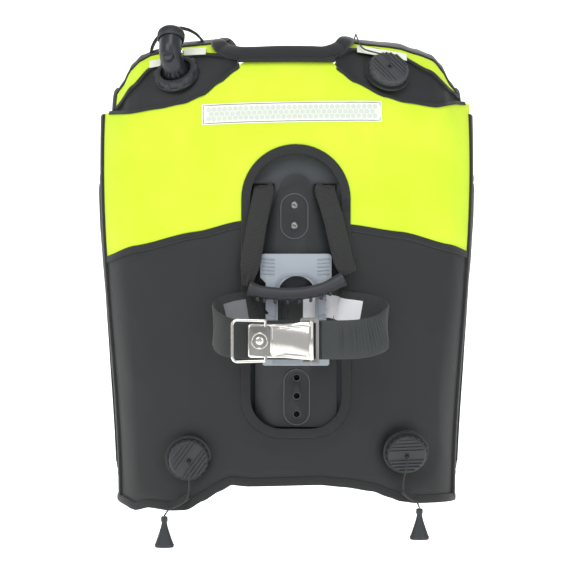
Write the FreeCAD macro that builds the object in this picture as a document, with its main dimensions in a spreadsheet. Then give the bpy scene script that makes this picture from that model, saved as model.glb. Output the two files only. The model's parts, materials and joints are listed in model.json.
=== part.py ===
"""Buoyancy compensator vest: a padded jacket on a plastic backplate, millimetres.

+Z is up, -Y is the back of the vest (towards the tank) and +X the diver's right.
The origin is the middle of the backplate's outer face, where the tank rests.
"""
import FreeCAD, Part
import Sketcher
import math
import os

Vector = FreeCAD.Vector
Rotation = FreeCAD.Rotation
Placement = FreeCAD.Placement

os.makedirs("parts", exist_ok=True)
doc = FreeCAD.newDocument("buoyancy_vest")
sheet = doc.addObject("Spreadsheet::Sheet", "sizes")

DRIVING = (
    # torso form
    ("torsoCentreX", -7), ("torsoCentreY", 105), ("torsoBackDepth", 113), ("torsoFrontDepth", 100),
    ("hipHalfWidth", 227), ("chestHalfWidth", 252), ("torsoPower", 2.6),
    ("vaultHeight", 110), ("vaultPower", 2.2),
    # cloth
    ("clothGap", 0.5), ("shellThickness", 4), ("bladderThickness", 11), ("lobeThickness", 14),
    ("wingThickness", 9), ("padThickness", 14), ("pocketThickness", 12), ("cummerbundThickness", 6),
    # backplate
    ("plateCentreX", 5), ("plateHalfWidth", 68), ("plateTop", 212), ("plateBottom", -170),
    ("plateThickness", 7), ("tongueHeight", 6), ("tongueHalfWidth", 53.5), ("tongueTop", 178),
    ("tongueBottom", -154), ("windowHalfWidth", 61), ("windowTop", 206), ("windowBottom", -157),
    ("recessDepth", 2), ("plateHoleRadius", 4), ("plateHolePitch", 24), ("plateHoleTop", -89),
    ("screwRadius", 4.5), ("screwPitch", 27), ("screwTop", 137),
    # grip pad
    ("gripPadWidth", 93), ("gripPadHeight", 146), ("gripPadFoot", 5), ("gripPadSkin", 6),
    ("gripWindowWidth", 49),
    # tank band and cam buckle
    ("bandWidth", 50), ("bandThickness", 3), ("bandSlope", 0.52), ("leverLength", 80), ("leverWidth", 43),
    ("leverThickness", 2), ("drumRadius", 3.6), ("frameWidth", 24), ("frameHeight", 58),
    ("frameThickness", 3), ("pinRadius", 2), ("wireRadius", 2),
    # carrying handle
    ("handleCentreX", 3), ("handleSpread", 40.5), ("handleSlotHeight", 162.25), ("handleHingeHeight", 154.5),
    ("handleHingeDepth", -10.5), ("webWidth", 25), ("webThickness", 3), ("webTaper", 6),
    ("gripRadius", 8.5), ("toothRadius", 2.6),
    # dump valves
    ("flangeRadius", 30), ("flangeHeight", 3), ("neckRadius", 20), ("neckBore", 17), ("neckDepth", 12),
    ("capRadius", 26), ("capHeight", 12), ("capHollowRadius", 22), ("capHollowDepth", 8),
    ("cordHoleRadius", 2.5), ("poppetRadius", 14.5), ("poppetThickness", 3), ("stemRadius", 2.5),
    ("springRadius", 7), ("springWire", 1.2), ("ridgePitch", 4.5),
    ("cordRadius", 1), ("toggleLength", 41), ("toggleRadius", 13),
    # inflator elbow
    ("elbowTubeRadius", 15), ("elbowBendRadius", 20), ("elbowBendAngle", 75), ("ringRadius", 30),
    ("ringHeight", 12), ("cuffRadius", 17.5), ("cuffLength", 12), ("elbowBore", 11),
    # buckles, straps, rings and zips
    ("strapWidth", 38), ("strapThickness", 2), ("buckleWidth", 54), ("buckleThickness", 14),
    ("socketLength", 42), ("maleLength", 30), ("dRingWidth", 50), ("dRingWire", 2.5),
    ("sliderWidth", 9), ("sliderLength", 13),
)
for row, (name, size) in enumerate(DRIVING, 1):
    sheet.set("A%d" % row, name)
    sheet.set("B%d" % row, str(size))
    sheet.setAlias("B%d" % row, name)
doc.recompute()


def val(alias):
    return float(sheet.get(alias))


centreX, centreY = val("torsoCentreX"), val("torsoCentreY")
gap = val("clothGap")
FACING_BACK = Rotation(Vector(1, 0, 0), 90)
parts = []


def keep(obj, label, place=None):
    """Name a finished sub-part, put it in its place and list it for export."""
    obj.Label = label
    if place is not None:
        obj.Placement = place
    parts.append(obj)
    return obj


def bind(obj, **sizes):
    for name, formula in sizes.items():
        obj.setExpression(name, formula)
    return obj


# ---------------------------------------------------------------- outlines and the torso form

def smooth_step(amount):
    amount = min(max(amount, 0.0), 1.0)
    return amount * amount * (3 - 2 * amount)


def outline(points):
    """A smooth curve through a few (x, height) points, level past its ends."""
    def height(x):
        if x <= points[0][0]:
            return points[0][1]
        for (x0, z0), (x1, z1) in zip(points, points[1:]):
            if x <= x1:
                share = (x - x0) / (x1 - x0)
                eased = 0.5 * share + 0.5 * smooth_step(share)
                return z0 + (z1 - z0) * eased
        return points[-1][1]
    return height


shoulder_top = outline([(0, 385), (60, 378), (92, 366), (150, 364), (185, 352), (208, 332),
                        (228, 306), (252, 284)])
hem_line = outline([(0, -233), (80, -235), (150, -250), (225, -261)])
seam_line = outline([(0, 131), (60, 116), (150, 95), (250, 71)])
neon_top = outline([(-250, 256), (-210, 259), (-150, 271), (-114, 284), (-85, 307), (-66, 325),
                    (-15, 327), (54, 327), (70, 311), (97, 292), (132, 277), (190, 268), (250, 262)])
wing_edge = outline([(-250, 262), (-234, 268), (-211, 295), (-186, 320), (-166, 329), (-120, 337),
                     (-80, 334), (-64, 328), (52, 328), (76, 343), (109, 345), (141, 336),
                     (181, 316), (213, 291), (230, 274), (250, 266)])


def half_width(z):
    rise = (z + 260) / 450
    return val("hipHalfWidth") + (val("chestHalfWidth") - val("hipHalfWidth")) * smooth_step(rise)


def back_point(x, z, inset):
    """A point of the vest's back, this far under its outer face."""
    power, vault = val("torsoPower"), val("vaultPower")
    across = min(abs(x - centreX) / (half_width(z) - inset), 0.998)
    depth = (val("torsoBackDepth") - inset) * (1 - across ** power) ** (1 / power)
    near_top = 1 - (shoulder_top(abs(x - centreX)) - inset - z) / val("vaultHeight")
    near_top = min(max(near_top, 0.0), 0.999)
    depth *= (1 - near_top ** vault) ** (1 / vault)
    return Vector(x, centreY - depth, z)


def ring_point(angle, z, inset, side):
    """A point round the torso: 0 degrees is the side seam and 90 the middle of the front."""
    power = 2 / val("torsoPower")
    turn = math.radians(angle)
    depth = val("torsoFrontDepth") if angle > 0 else val("torsoBackDepth")
    x = centreX + side * (half_width(z) - inset) * abs(math.cos(turn)) ** power
    y = centreY + math.copysign((depth - inset) * abs(math.sin(turn)) ** power, angle)
    return Vector(x, y, z)


def shoulder_point(x, start, end, share, inset):
    """A point on the arch over the shoulder, from a height on the back to one on the front."""
    power, vault, rise = val("torsoPower"), val("vaultPower"), val("vaultHeight")
    top = shoulder_top(abs(x - centreX))
    angle_of = lambda z: math.acos(min(max(1 - (top - z) / rise, 0.0), 1.0) ** (vault / 2))
    angle = -angle_of(start) + (angle_of(start) + angle_of(end)) * share
    across = min(abs(x - centreX) / (val("chestHalfWidth") - inset), 0.998)
    side_depth = val("torsoBackDepth") if angle < 0 else val("torsoFrontDepth")
    depth = (side_depth - inset) * (1 - across ** power) ** (1 / power)
    y = centreY + math.copysign(depth * abs(math.sin(angle)) ** (2 / vault), angle)
    return Vector(x, y, top - inset - rise * (1 - abs(math.cos(angle)) ** (2 / vault)))


# ---------------------------------------------------------------- soft solids

def slab(point, columns, rows, outer, inner):
    """A closed cloth solid between two inset faces of point(across, up, inset)."""
    faces, surfaces = [], []
    for inset in (outer, inner):
        grid = [[point(i / columns, j / rows, inset) for i in range(columns + 1)]
                for j in range(rows + 1)]
        surface = Part.BSplineSurface()
        surface.interpolate(grid)
        surfaces.append(surface)
        faces.append(surface.toShape())
    front, back = surfaces
    first_u, last_u, first_v, last_v = front.bounds()
    for at in (first_u, last_u):
        faces.append(Part.makeRuledSurface(front.uIso(at).toShape(), back.uIso(at).toShape()))
    for at in (first_v, last_v):
        faces.append(Part.makeRuledSurface(front.vIso(at).toShape(), back.vIso(at).toShape()))
    shell = Part.Shell(faces)
    shell.sewShape()
    solid = Part.Solid(shell)
    if solid.Volume < 0:
        solid.reverse()
    return solid


def soft_part(label, shape):
    obj = doc.addObject("Part::Feature", label)
    obj.Shape = shape
    return keep(obj, label)


def window_prism(margin):
    """The arched window over the backplate, as a prism through the back."""
    half = val("windowHalfWidth") + margin
    mid, top, bottom = val("plateCentreX"), val("windowTop") + margin, val("windowBottom") - margin
    corner = 42 + margin
    left, right = mid - half, mid + half
    at = lambda x, z: Vector(x, -60, z)
    edge = corner * (1 - math.sqrt(0.5))
    wire = Part.Wire([
        Part.Arc(at(left, top - half), at(mid, top), at(right, top - half)).toShape(),
        Part.LineSegment(at(right, top - half), at(right, bottom + corner)).toShape(),
        Part.Arc(at(right, bottom + corner), at(right - edge, bottom + edge),
                 at(right - corner, bottom)).toShape(),
        Part.LineSegment(at(right - corner, bottom), at(left + corner, bottom)).toShape(),
        Part.Arc(at(left + corner, bottom), at(left + edge, bottom + edge),
                 at(left, bottom + corner)).toShape(),
        Part.LineSegment(at(left, bottom + corner), at(left, top - half)).toShape()])
    return Part.Face(wire).extrude(Vector(0, 160, 0))


EDGE_TURN = 76.0        # how far round the back panel reaches, in degrees from its middle


def back_patch(low, high, spread=EDGE_TURN):
    """A patch of the back between two outlines of height."""
    def point(across, up, inset):
        turn = math.radians((2 * across - 1) * spread)
        share = math.copysign(abs(math.sin(turn)) ** (2 / val("torsoPower")), turn)
        x = centreX + share * half_width(0)
        for _ in range(3):
            level = low(x) + (high(x) - low(x)) * up
            x = centreX + share * half_width(level)
        return back_point(x - share * inset, level, inset)
    return point


def clear_fitting(cloth, fitting, neck, flange):
    """The cloth with a hole for a fitting's neck and room for the flange that lies on it."""
    centre, normal = fitting
    axis = Vector(*normal).normalize()
    inner = Part.makeCylinder(neck + gap, 90, Vector(*centre) - axis * 60, axis)
    outer = Part.makeCylinder(flange + gap, 60, Vector(*centre) - axis * gap, axis)
    return cloth.cut([inner, outer])


def clear_dump(cloth, side):
    return clear_fitting(cloth, VALVES[side], val("neckRadius"), val("flangeRadius"))


VALVES = {  # name: (centre of the flange's back face, outward direction)
    "left": ((-136, -4, -194), (0.12, -0.97, -0.2)),
    "right": ((149, -2, -186), (0.06, -0.93, -0.36)),
    "shoulder": ((125.5, 13.5, 311.5), (0.2, -0.81, 0.56)),
}
ELBOW = ((-150.5, 23, 307), (-0.26, -0.67, 0.69))


def back_shell():
    thickness = val("shellThickness")
    across = lambda line: (lambda x: line(abs(x - centreX)))
    hem, seam = across(hem_line), across(seam_line)
    lower = slab(back_patch(hem, seam), 28, 12, 0, thickness).cut(window_prism(0))
    lower = clear_dump(clear_dump(lower, "left"), "right")
    upper = slab(back_patch(lambda x: seam(x) + gap, neon_top), 56, 16, 0, thickness)
    upper = clear_dump(upper.cut(window_prism(0)), "shoulder")
    soft_part("back_shell_lower", lower)
    soft_part("back_shell_upper", upper)


def gusset_patch(inner, outer):
    def point(across, up, inset):
        x = inner + (outer - inner) * across
        low = neon_top(x) + 6 * gap
        return back_point(x, low + max(wing_edge(x) - 9 * gap - low, 3) * up, inset)
    return point


def shoulder_gussets():
    """The black cloth round the shoulder fittings, one piece on each side."""
    thickness = val("shellThickness")
    solids = []
    left = slab(gusset_patch(-78, -222), 18, 6, 0, thickness)
    solids.append(clear_fitting(left, ELBOW, 16, val("ringRadius")))
    right = slab(gusset_patch(66, 216), 18, 6, 0, thickness)
    solids.append(clear_dump(right, "shoulder"))
    soft_part("shoulder_gussets", Part.makeCompound(solids))


def shoulder_wings():
    """The shoulder pieces, arched from the back gusset over the top to the chest."""
    inner, outer, hollow = 66, 228, 22
    for label, side in (("left", -1), ("right", 1)):
        def point(across, up, inset):
            neck = inner + hollow * smooth_step(up / 0.3) * smooth_step((0.8 - up) / 0.35)
            x = centreX + side * (neck + (outer - neck) * across)
            front = 215 + 55 * smooth_step((across - 0.45) / 0.55)
            return shoulder_point(x, max(wing_edge(x) + 1, 255), front, up, inset)
        wing = slab(point, 16, 16, 0, val("wingThickness"))
        if side < 0:
            wing = clear_fitting(wing, ELBOW, 16, val("ringRadius"))
        else:
            wing = clear_dump(wing, "shoulder")
        soft_part("shoulder_wing_" + label, wing)


def front_lobes():
    """The buoyant front halves, from the side edge of the back round to the open middle."""
    for label, side in (("left", -1), ("right", 1)):
        def point(across, up, inset):
            angle = -11 + 92 * across
            top = 178 - 40 * smooth_step((angle - 5) / 40)
            low = -222 + 24 * smooth_step((angle - 10) / 50)
            return ring_point(angle, low + (top - low) * up, inset, side)
        soft_part("front_lobe_" + label, slab(point, 20, 6, 0, val("lobeThickness")))


def bladder_and_pad():
    """The welded air cell inside the back and the pad that the diver's back rests on."""
    outer = val("shellThickness") + gap
    inner = outer + val("bladderThickness")
    low = lambda x: hem_line(abs(x - centreX)) + 18
    cell = slab(back_patch(low, lambda x: 246.0, 66), 24, 8, outer, inner).cut(window_prism(16))
    soft_part("air_bladder", clear_dump(clear_dump(cell, "left"), "right"))
    pad = slab(back_patch(lambda x: -175.0, lambda x: 225.0, 28), 12, 6,
               inner + 6, inner + 6 + val("padThickness"))
    soft_part("back_pad", pad)


def collar_pad():
    """The soft roll along the neckline."""
    def point(across, up, inset):
        x = -71 + 128 * across
        return back_point(x, 328.5 + 16 * up, inset)
    soft_part("collar_pad", slab(point, 14, 2, -6, 9))


def pockets():
    for label, side in (("left", -1), ("right", 1)):
        def point(across, up, inset):
            return ring_point(20 + 32 * across, -186 + 150 * up, inset, side)
        soft_part("pocket_" + label, slab(point, 10, 4, -val("pocketThickness"), -gap))


def cummerbunds():
    """The waist wraps; the left one laps over the right one in the middle."""
    base = val("lobeThickness") + gap
    thick = val("cummerbundThickness")
    start, end, low, tall = 4, 97, -128, 100
    for label, side, inset in (("left", -1, base), ("right", 1, base + thick + gap)):
        def point(across, up, depth):
            angle = start + (end - start) * across
            if angle > 90:
                return ring_point(180 - angle, low + tall * up, depth, -side)
            return ring_point(angle, low + tall * up, depth, side)
        soft_part("cummerbund_" + label, slab(point, 20, 4, inset, inset + thick))


# ---------------------------------------------------------------- sketches and solid features

def new_body(name):
    return doc.addObject("PartDesign::Body", name)


def new_sketch(body, role="XY_Plane", offset=0.0):
    sketch = body.newObject("Sketcher::SketchObject", body.Name + "_sketch")
    plane = [f for f in body.Origin.OriginFeatures if f.Role == role][0]
    sketch.AttachmentSupport = [(plane, "")]
    sketch.MapMode = "FlatFace"
    sketch.AttachmentOffset = Placement(Vector(0, 0, offset), Rotation())
    return sketch


def draw_circle(sketch, radius, x=0.0, y=0.0):
    """A circle whose radius follows the sheet."""
    index = sketch.addGeometry(Part.Circle(Vector(x, y, 0), Vector(0, 0, 1), val(radius)), False)
    constraint = sketch.addConstraint(Sketcher.Constraint("Radius", index, val(radius)))
    sketch.setExpression("Constraints[%d]" % constraint, "sizes." + radius)


def draw_loop(sketch, points):
    """A closed outline of straight edges."""
    for start, end in zip(points, points[1:] + points[:1]):
        sketch.addGeometry(Part.LineSegment(Vector(*start, 0), Vector(*end, 0)), False)


def draw_stadium(sketch, x, bottom, top, half):
    """An upright slot with round ends."""
    low, high = bottom + half, top - half
    centre = lambda y: Part.Circle(Vector(x, y, 0), Vector(0, 0, 1), half)
    sketch.addGeometry(Part.ArcOfCircle(centre(high), 0, math.pi), False)
    sketch.addGeometry(Part.LineSegment(Vector(x - half, high, 0), Vector(x - half, low, 0)), False)
    sketch.addGeometry(Part.ArcOfCircle(centre(low), math.pi, 2 * math.pi), False)
    sketch.addGeometry(Part.LineSegment(Vector(x + half, low, 0), Vector(x + half, high, 0)), False)


def draw_rounded(sketch, left, right, bottom, top, radius):
    """A rectangle with round corners."""
    line = lambda a, b: sketch.addGeometry(Part.LineSegment(Vector(*a, 0), Vector(*b, 0)), False)
    line((left + radius, bottom), (right - radius, bottom))
    line((right, bottom + radius), (right, top - radius))
    line((right - radius, top), (left + radius, top))
    line((left, top - radius), (left, bottom + radius))
    quarter = math.pi / 2
    corners = ((left, bottom, 1, 1, 2), (right, bottom, -1, 1, 3), (right, top, -1, -1, 0),
               (left, top, 1, -1, 1))
    for x, y, inward, upward, turn in corners:
        circle = Part.Circle(Vector(x + inward * radius, y + upward * radius, 0),
                             Vector(0, 0, 1), radius)
        arc = Part.ArcOfCircle(circle, turn * quarter, (turn + 1) * quarter)
        sketch.addGeometry(arc, False)


def feature(body, kind, sketch, length, **settings):
    """A pad or pocket of the sketch; length is a sheet alias or a number."""
    made = body.newObject("PartDesign::" + kind, body.Name + "_" + kind.lower())
    made.Profile = sketch
    if isinstance(length, str):
        made.setExpression("Length", "sizes." + length)
    else:
        made.Length = length
    for name, setting in settings.items():
        setattr(made, name, setting)
    sketch.Visibility = False
    doc.recompute()
    body.Tip = made
    return made


def cylinder(name, radius, height, at=(0, 0, 0), axis=(0, 0, 1)):
    obj = doc.addObject("Part::Cylinder", name)
    bind(obj, Radius=str(radius), Height=str(height))
    obj.Placement = Placement(Vector(*at), Rotation(Vector(0, 0, 1), Vector(*axis)))
    return obj


def block(name, length, width, height, at=(0, 0, 0)):
    obj = doc.addObject("Part::Box", name)
    bind(obj, Length=str(length), Width=str(width), Height=str(height))
    obj.Placement = Placement(Vector(*at), Rotation())
    return obj


def join(name, pieces):
    obj = doc.addObject("Part::MultiFuse", name)
    obj.Shapes = pieces
    return obj


def subtract(name, base, tool):
    obj = doc.addObject("Part::Cut", name)
    obj.Base, obj.Tool = base, tool
    return obj


# ---------------------------------------------------------------- backplate and grip pad

def back_placement(depth):
    """Sketches drawn as seen from behind, standing this far inside the tank face."""
    return Placement(Vector(0, depth, 0), FACING_BACK)


def backplate():
    """The moulded plate: a wide base with a raised tongue for the tank to bear on."""
    body = new_body("backplate_body")
    mid, half = val("plateCentreX"), val("plateHalfWidth")
    base = new_sketch(body)
    draw_stadium(base, mid, val("plateBottom"), val("plateTop"), half)
    feature(body, "Pad", base, "plateThickness")
    top = val("plateThickness")
    tongue = new_sketch(body, offset=top - 0.01)
    wide, crown = val("tongueHalfWidth"), 22
    high, low = val("tongueTop"), val("tongueBottom")
    shoulder, neck = 62, high - crown
    circle = Part.Circle(Vector(mid, neck, 0), Vector(0, 0, 1), crown)
    tongue.addGeometry(Part.ArcOfCircle(circle, 0, math.pi), False)
    outline_points = [(mid - crown, neck), (mid - wide, shoulder), (mid - wide, low),
                      (mid + wide, low), (mid + wide, shoulder), (mid + crown, neck)]
    for start, end in zip(outline_points, outline_points[1:]):
        tongue.addGeometry(Part.LineSegment(Vector(*start, 0), Vector(*end, 0)), False)
    feature(body, "Pad", tongue, val("tongueHeight") + 0.01)
    face = top + val("tongueHeight")
    recesses = new_sketch(body, offset=face)
    draw_stadium(recesses, mid - 2, 93, 152, 17)
    draw_stadium(recesses, mid + 1, -151, -78, 16)
    feature(body, "Pocket", recesses, "recessDepth")
    holes = new_sketch(body, offset=face)
    for index in range(3):
        draw_circle(holes, "plateHoleRadius", mid + 1, val("plateHoleTop") - index * val("plateHolePitch"))
    feature(body, "Pocket", holes, 30)
    slots = new_sketch(body, offset=face)
    for side in (-1, 1):
        x = handle_leg_x(side)
        draw_rounded(slots, x - 14, x + 14, 157, 165, 3)
    feature(body, "Pocket", slots, 30)
    keep(body, "backplate", back_placement(val("tongueHeight") + val("plateThickness")))


def plate_screws():
    """Two domed screws in the upper recess, sharing one node."""
    mid, depth = val("plateCentreX") - 2, val("recessDepth")
    screws = []
    for index in range(2):
        at = Vector(mid, depth, val("screwTop") - index * val("screwPitch"))
        dome = Part.makeSphere(val("screwRadius") + 1, at + Vector(0, 3, 0), Vector(0, -1, 0), 25, 90, 360)
        screws.append(dome.common(Part.makeCylinder(val("screwRadius"), 6, at, Vector(0, -1, 0))))
    soft_part("plate_screws", Part.makeCompound(screws))


def grip_pad():
    """The soft grey pad that stops the tank from sliding; the band runs under its legs."""
    body = new_body("grip_pad_body")
    mid, half = val("plateCentreX"), val("gripPadWidth") / 2
    foot, skin = val("gripPadFoot"), val("gripPadSkin")
    top, window = val("gripPadHeight") / 2, val("gripWindowWidth") / 2
    feet = new_sketch(body)
    draw_rounded(feet, mid - half, mid + half, 46, top, 5)
    draw_rounded(feet, mid - half + 3, mid + half - 3, -top, -60, 3)
    feature(body, "Pad", feet, foot + skin)
    legs = new_sketch(body, offset=foot)
    notch = 7
    outer = [(mid - half, -top + 8), (mid - half + notch, -top + 12), (mid - half + notch, -8),
             (mid - half + notch + 4, -4), (mid - half + notch, 0), (mid - half + notch, 35),
             (mid - half, 42), (mid - half, 50)]
    mirrored = [(2 * mid - x, y) for x, y in reversed(outer)]
    draw_loop(legs, outer + mirrored)
    feature(body, "Pad", legs, "gripPadSkin")
    opening = new_sketch(body, offset=foot + skin)
    draw_stadium(opening, mid + 1, -61, 44, window)
    feature(body, "Pocket", opening, 30)
    keep(body, "grip_pad", back_placement(-0.1))


# ---------------------------------------------------------------- tank band and cam buckle

BAND_LOOP = ((-14, -1), (-36, -1), (-48, -4), (-58, -10.5), (-78, -18), (-97, -32), (-101, -52),
             (-88, -73), (-62, -81.5), (-20, -82.4), (40, -82.4), (84, -80.5), (112, -68), (123, -48),
             (115, -29), (92, -17), (68, -10.5), (58, -4), (46, -1), (24, -1))


def band_curve(inset):
    """The band's closed loop seen from above, this far inside its outer face."""
    curve = Part.BSplineCurve()
    curve.interpolate([Vector(x, y, 0) for x, y in BAND_LOOP], PeriodicFlag=True)
    if inset:
        first, span, count = curve.FirstParameter, curve.LastParameter - curve.FirstParameter, 72
        points = []
        for index in range(count):
            at = first + span * index / count
            inward = Vector(0, 0, 1).cross(curve.tangent(at)[0])
            points.append(curve.value(at) + inward * inset)
        curve = Part.BSplineCurve()
        curve.interpolate(points, PeriodicFlag=True)
    return Part.Wire(curve.toShape())


def band_height(y):
    """How high the middle of the band is at this depth; it hangs lower at the buckle."""
    return 5 + val("bandSlope") * y


def tank_band():
    width = val("bandWidth")
    ring = Part.Face(band_curve(0)).cut(Part.Face(band_curve(val("bandThickness"))))
    ring = ring.extrude(Vector(0, 0, width))
    shear = FreeCAD.Matrix()
    shear.A32 = val("bandSlope")
    ring = ring.transformGeometry(shear)
    ring.translate(Vector(0, 0, band_height(0) - width / 2))
    soft_part("tank_band", ring)


BUCKLE_Y = min(y for x, y in BAND_LOOP)       # outer face of the band's front run
BUCKLE_Z = band_height(BUCKLE_Y) - 1
PIN = (24.0, BUCKLE_Y - 7.0)


def buckle_frame():
    """The steel frame that the band runs through and the lever's pin sits in."""
    body = new_body("buckle_frame_body")
    tall, wide = val("frameHeight") / 2, val("frameWidth")
    plate = new_sketch(body)
    draw_rounded(plate, 10, 10 + wide, -tall, tall, 3)
    feature(body, "Pad", plate, "frameThickness")
    slot = new_sketch(body, offset=val("frameThickness"))
    draw_rounded(slot, 26, 30, -tall + 6, tall - 6, 1.5)
    feature(body, "Pocket", slot, 20)
    ears = new_sketch(body)
    for side in (-1, 1):
        low, high = sorted((side * tall, side * (tall - 3)))
        draw_rounded(ears, 14, 33, low, high, 1)
    feature(body, "Pad", ears, 12)
    bores = new_sketch(body, "XZ_Plane", -tall - 5)
    draw_circle(bores, "pinRadius", PIN[0], 7)
    bore = feature(body, "Pocket", bores, 2 * tall + 20)
    if abs(bore.Shape.Volume - bore.BaseFeature.Shape.Volume) < 1:
        bore.Reversed = True
    doc.recompute()
    place = Placement(Vector(0, BUCKLE_Y - 0.4, BUCKLE_Z), FACING_BACK)
    keep(body, "buckle_frame", place)


def cam_pin():
    tall = val("frameHeight")
    pin = cylinder("cam_pin_body", "sizes.pinRadius", "sizes.frameHeight + 2")
    keep(pin, "cam_pin", Placement(Vector(PIN[0], PIN[1] - 0.4, BUCKLE_Z - tall / 2 - 1), Rotation()))


def cam_lever():
    """The over-centre lever plate with its cam drum round the pin."""
    body = new_body("cam_lever_body")
    tall, reach = val("leverWidth") / 2, val("leverLength")
    plate = new_sketch(body)
    flare = 3
    draw_loop(plate, [(-reach, -tall + 2), (-reach, tall - 2), (-reach + 3, tall), (-34, tall),
                      (0, tall + flare), (0, -tall - flare), (-34, -tall), (-reach + 3, -tall)])
    feature(body, "Pad", plate, "leverThickness")
    slots = new_sketch(body, offset=val("leverThickness"))
    for side in (-1, 1):
        low, high = sorted((side * (tall - 3), side * (tall - 8)))
        draw_rounded(slots, -62, -54, low, high, 1)
    feature(body, "Pocket", slots, 10)
    drum = cylinder("lever_drum", "sizes.drumRadius", "sizes.leverWidth + 6", (0, -tall - 3, 0), (0, 1, 0))
    hole = cylinder("lever_bore", "sizes.pinRadius + 0.05", "sizes.leverWidth + 20",
                    (0, -tall - 10, 0), (0, 1, 0))
    lever = subtract("cam_lever_cut", join("cam_lever_joined", [body, drum]), hole)
    doc.recompute()
    keep(lever, "cam_lever", Placement(Vector(PIN[0], PIN[1] - 0.4, BUCKLE_Z), FACING_BACK))


BAIL_X = -34.0          # where the bail's arms hook into the lever
BAIL_REACH = 42.0


def buckle_bail():
    """The bent wire that ties the band's loop to the lever."""
    wire, tall = val("wireRadius"), val("leverWidth") / 2 + 4
    near, far = 0.0, -BAIL_REACH
    path = Part.Wire([
        Part.LineSegment(Vector(near, 0, tall), Vector(far + 6, 0, tall + 1)).toShape(),
        Part.Arc(Vector(far + 6, 0, tall + 1), Vector(far + 1.8, 0, tall - 1), Vector(far, 0, tall - 5)).toShape(),
        Part.LineSegment(Vector(far, 0, tall - 5), Vector(far, 0, 5 - tall)).toShape(),
        Part.Arc(Vector(far, 0, 5 - tall), Vector(far + 1.8, 0, 1 - tall), Vector(far + 6, 0, -tall - 1)).toShape(),
        Part.LineSegment(Vector(far + 6, 0, -tall - 1), Vector(near, 0, -tall)).toShape()])
    section = Part.Wire(Part.makeCircle(wire, Vector(near, 0, tall), Vector(-1, 0, 0)))
    bail = path.makePipeShell([section], True, True, 2)
    hooks = [Part.makeCylinder(wire, 9, Vector(near, 0, side * (tall + 1)), Vector(0, 0, -side))
             for side in (-1, 1)]
    obj = doc.addObject("Part::Feature", "buckle_bail_wire")
    obj.Shape = bail.fuse(hooks)
    keep(obj, "buckle_bail", Placement(Vector(BAIL_X, BUCKLE_Y - 13, BUCKLE_Z), Rotation()))


# ---------------------------------------------------------------- carrying handle

GRIP_ENDS = (Vector(-54, -25, 27), Vector(2, -27, 21), Vector(65, -25, 39))     # left, lowest, right
TOOTH_COUNT = 8


def handle_leg_x(side):
    return val("handleCentreX") + side * val("handleSpread")


def handle_anchors():
    """The webbing tails that come out of the plate's slots and carry the handle's legs."""
    thick, wide = val("webThickness") / 2, val("webWidth")
    slot = Vector(0, 5, val("handleSlotHeight"))
    hinge = Vector(0, val("handleHingeDepth"), val("handleHingeHeight"))
    way = (hinge - slot).normalize()
    end = hinge - way * (thick + gap)
    off = way.cross(Vector(1, 0, 0)) * thick
    tails = []
    for side in (-1, 1):
        shift = Vector(handle_leg_x(side) - wide / 2, 0, 0)
        wire = Part.makePolygon([corner + shift for corner in
                                 (slot + off, end + off, end - off, slot - off, slot + off)])
        tails.append(Part.Face(wire).extrude(Vector(wide, 0, 0)))
    soft_part("handle_anchors", Part.makeCompound(tails))


def carry_webbing():
    """Two webbing legs, rolled round their hinge line at the top, down to the ends of the grip."""
    width, thick = val("webWidth") / 2, val("webThickness") / 2
    across = Vector(1, 0, 0)
    legs = []
    for side, foot in ((-1, Vector(-60, -22, 33)), (1, Vector(75, -22, 50))):
        top = Vector(handle_leg_x(side), val("handleHingeDepth"), val("handleHingeHeight"))
        reach = 2 * abs(foot.x - top.x) + 4 * width
        head, tail = Vector(-reach / 2, top.y, top.z), Vector(-reach / 2, foot.y, foot.z)
        way = (tail - head).normalize()
        off = way.cross(across) * thick
        strip = Part.Wire([Part.Arc(head + off, head - way * thick, head - off).toShape(),
                           Part.LineSegment(head - off, tail - off).toShape(),
                           Part.LineSegment(tail - off, tail + off).toShape(),
                           Part.LineSegment(tail + off, head + off).toShape()])
        sheet_of_web = Part.Face(strip).extrude(across * reach)
        sheet_of_web.translate(across * top.x)
        low = width - val("webTaper") / 2
        corners = [(top.x - width, top.z + 5), (top.x + width, top.z + 5), (top.x + width, top.z),
                   (foot.x + low, foot.z - 5), (foot.x - low, foot.z - 5), (top.x - width, top.z)]
        cut_line = Part.makePolygon([Vector(x, -60, z) for x, z in corners + corners[:1]])
        legs.append(sheet_of_web.common(Part.Face(cut_line).extrude(Vector(0, 90, 0))))
    soft_part("carry_webbing", Part.makeCompound(legs))


def carry_grip():
    """The moulded rubber grip, bowed downwards, with finger teeth underneath."""
    start, low, end = GRIP_ENDS
    arc = Part.Arc(start, low, end)
    radius = val("gripRadius")
    first = arc.FirstParameter
    tangent = arc.tangent(first)[0]
    section = Part.Wire(Part.makeCircle(radius, start, tangent))
    tube = Part.Wire(arc.toShape()).makePipeShell([section], True, True)
    teeth = []
    span = arc.LastParameter - first
    for index in range(TOOTH_COUNT):
        at = arc.value(first + span * (0.22 + 0.56 * index / (TOOTH_COUNT - 1)))
        down = at + Vector(0, 0, -radius - 2.5)
        teeth.append(Part.makeCylinder(val("toothRadius"), 12, down + Vector(0, -6, 0), Vector(0, 1, 0)))
    soft_part("carry_grip", tube.fuse(teeth))


# ---------------------------------------------------------------- dump valves

def along(centre, normal, distance=0.0):
    """A placement whose Z points along the normal, this far out from the centre."""
    axis = Vector(*normal).normalize()
    return Placement(Vector(*centre) + axis * distance, Rotation(Vector(0, 0, 1), axis))


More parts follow.
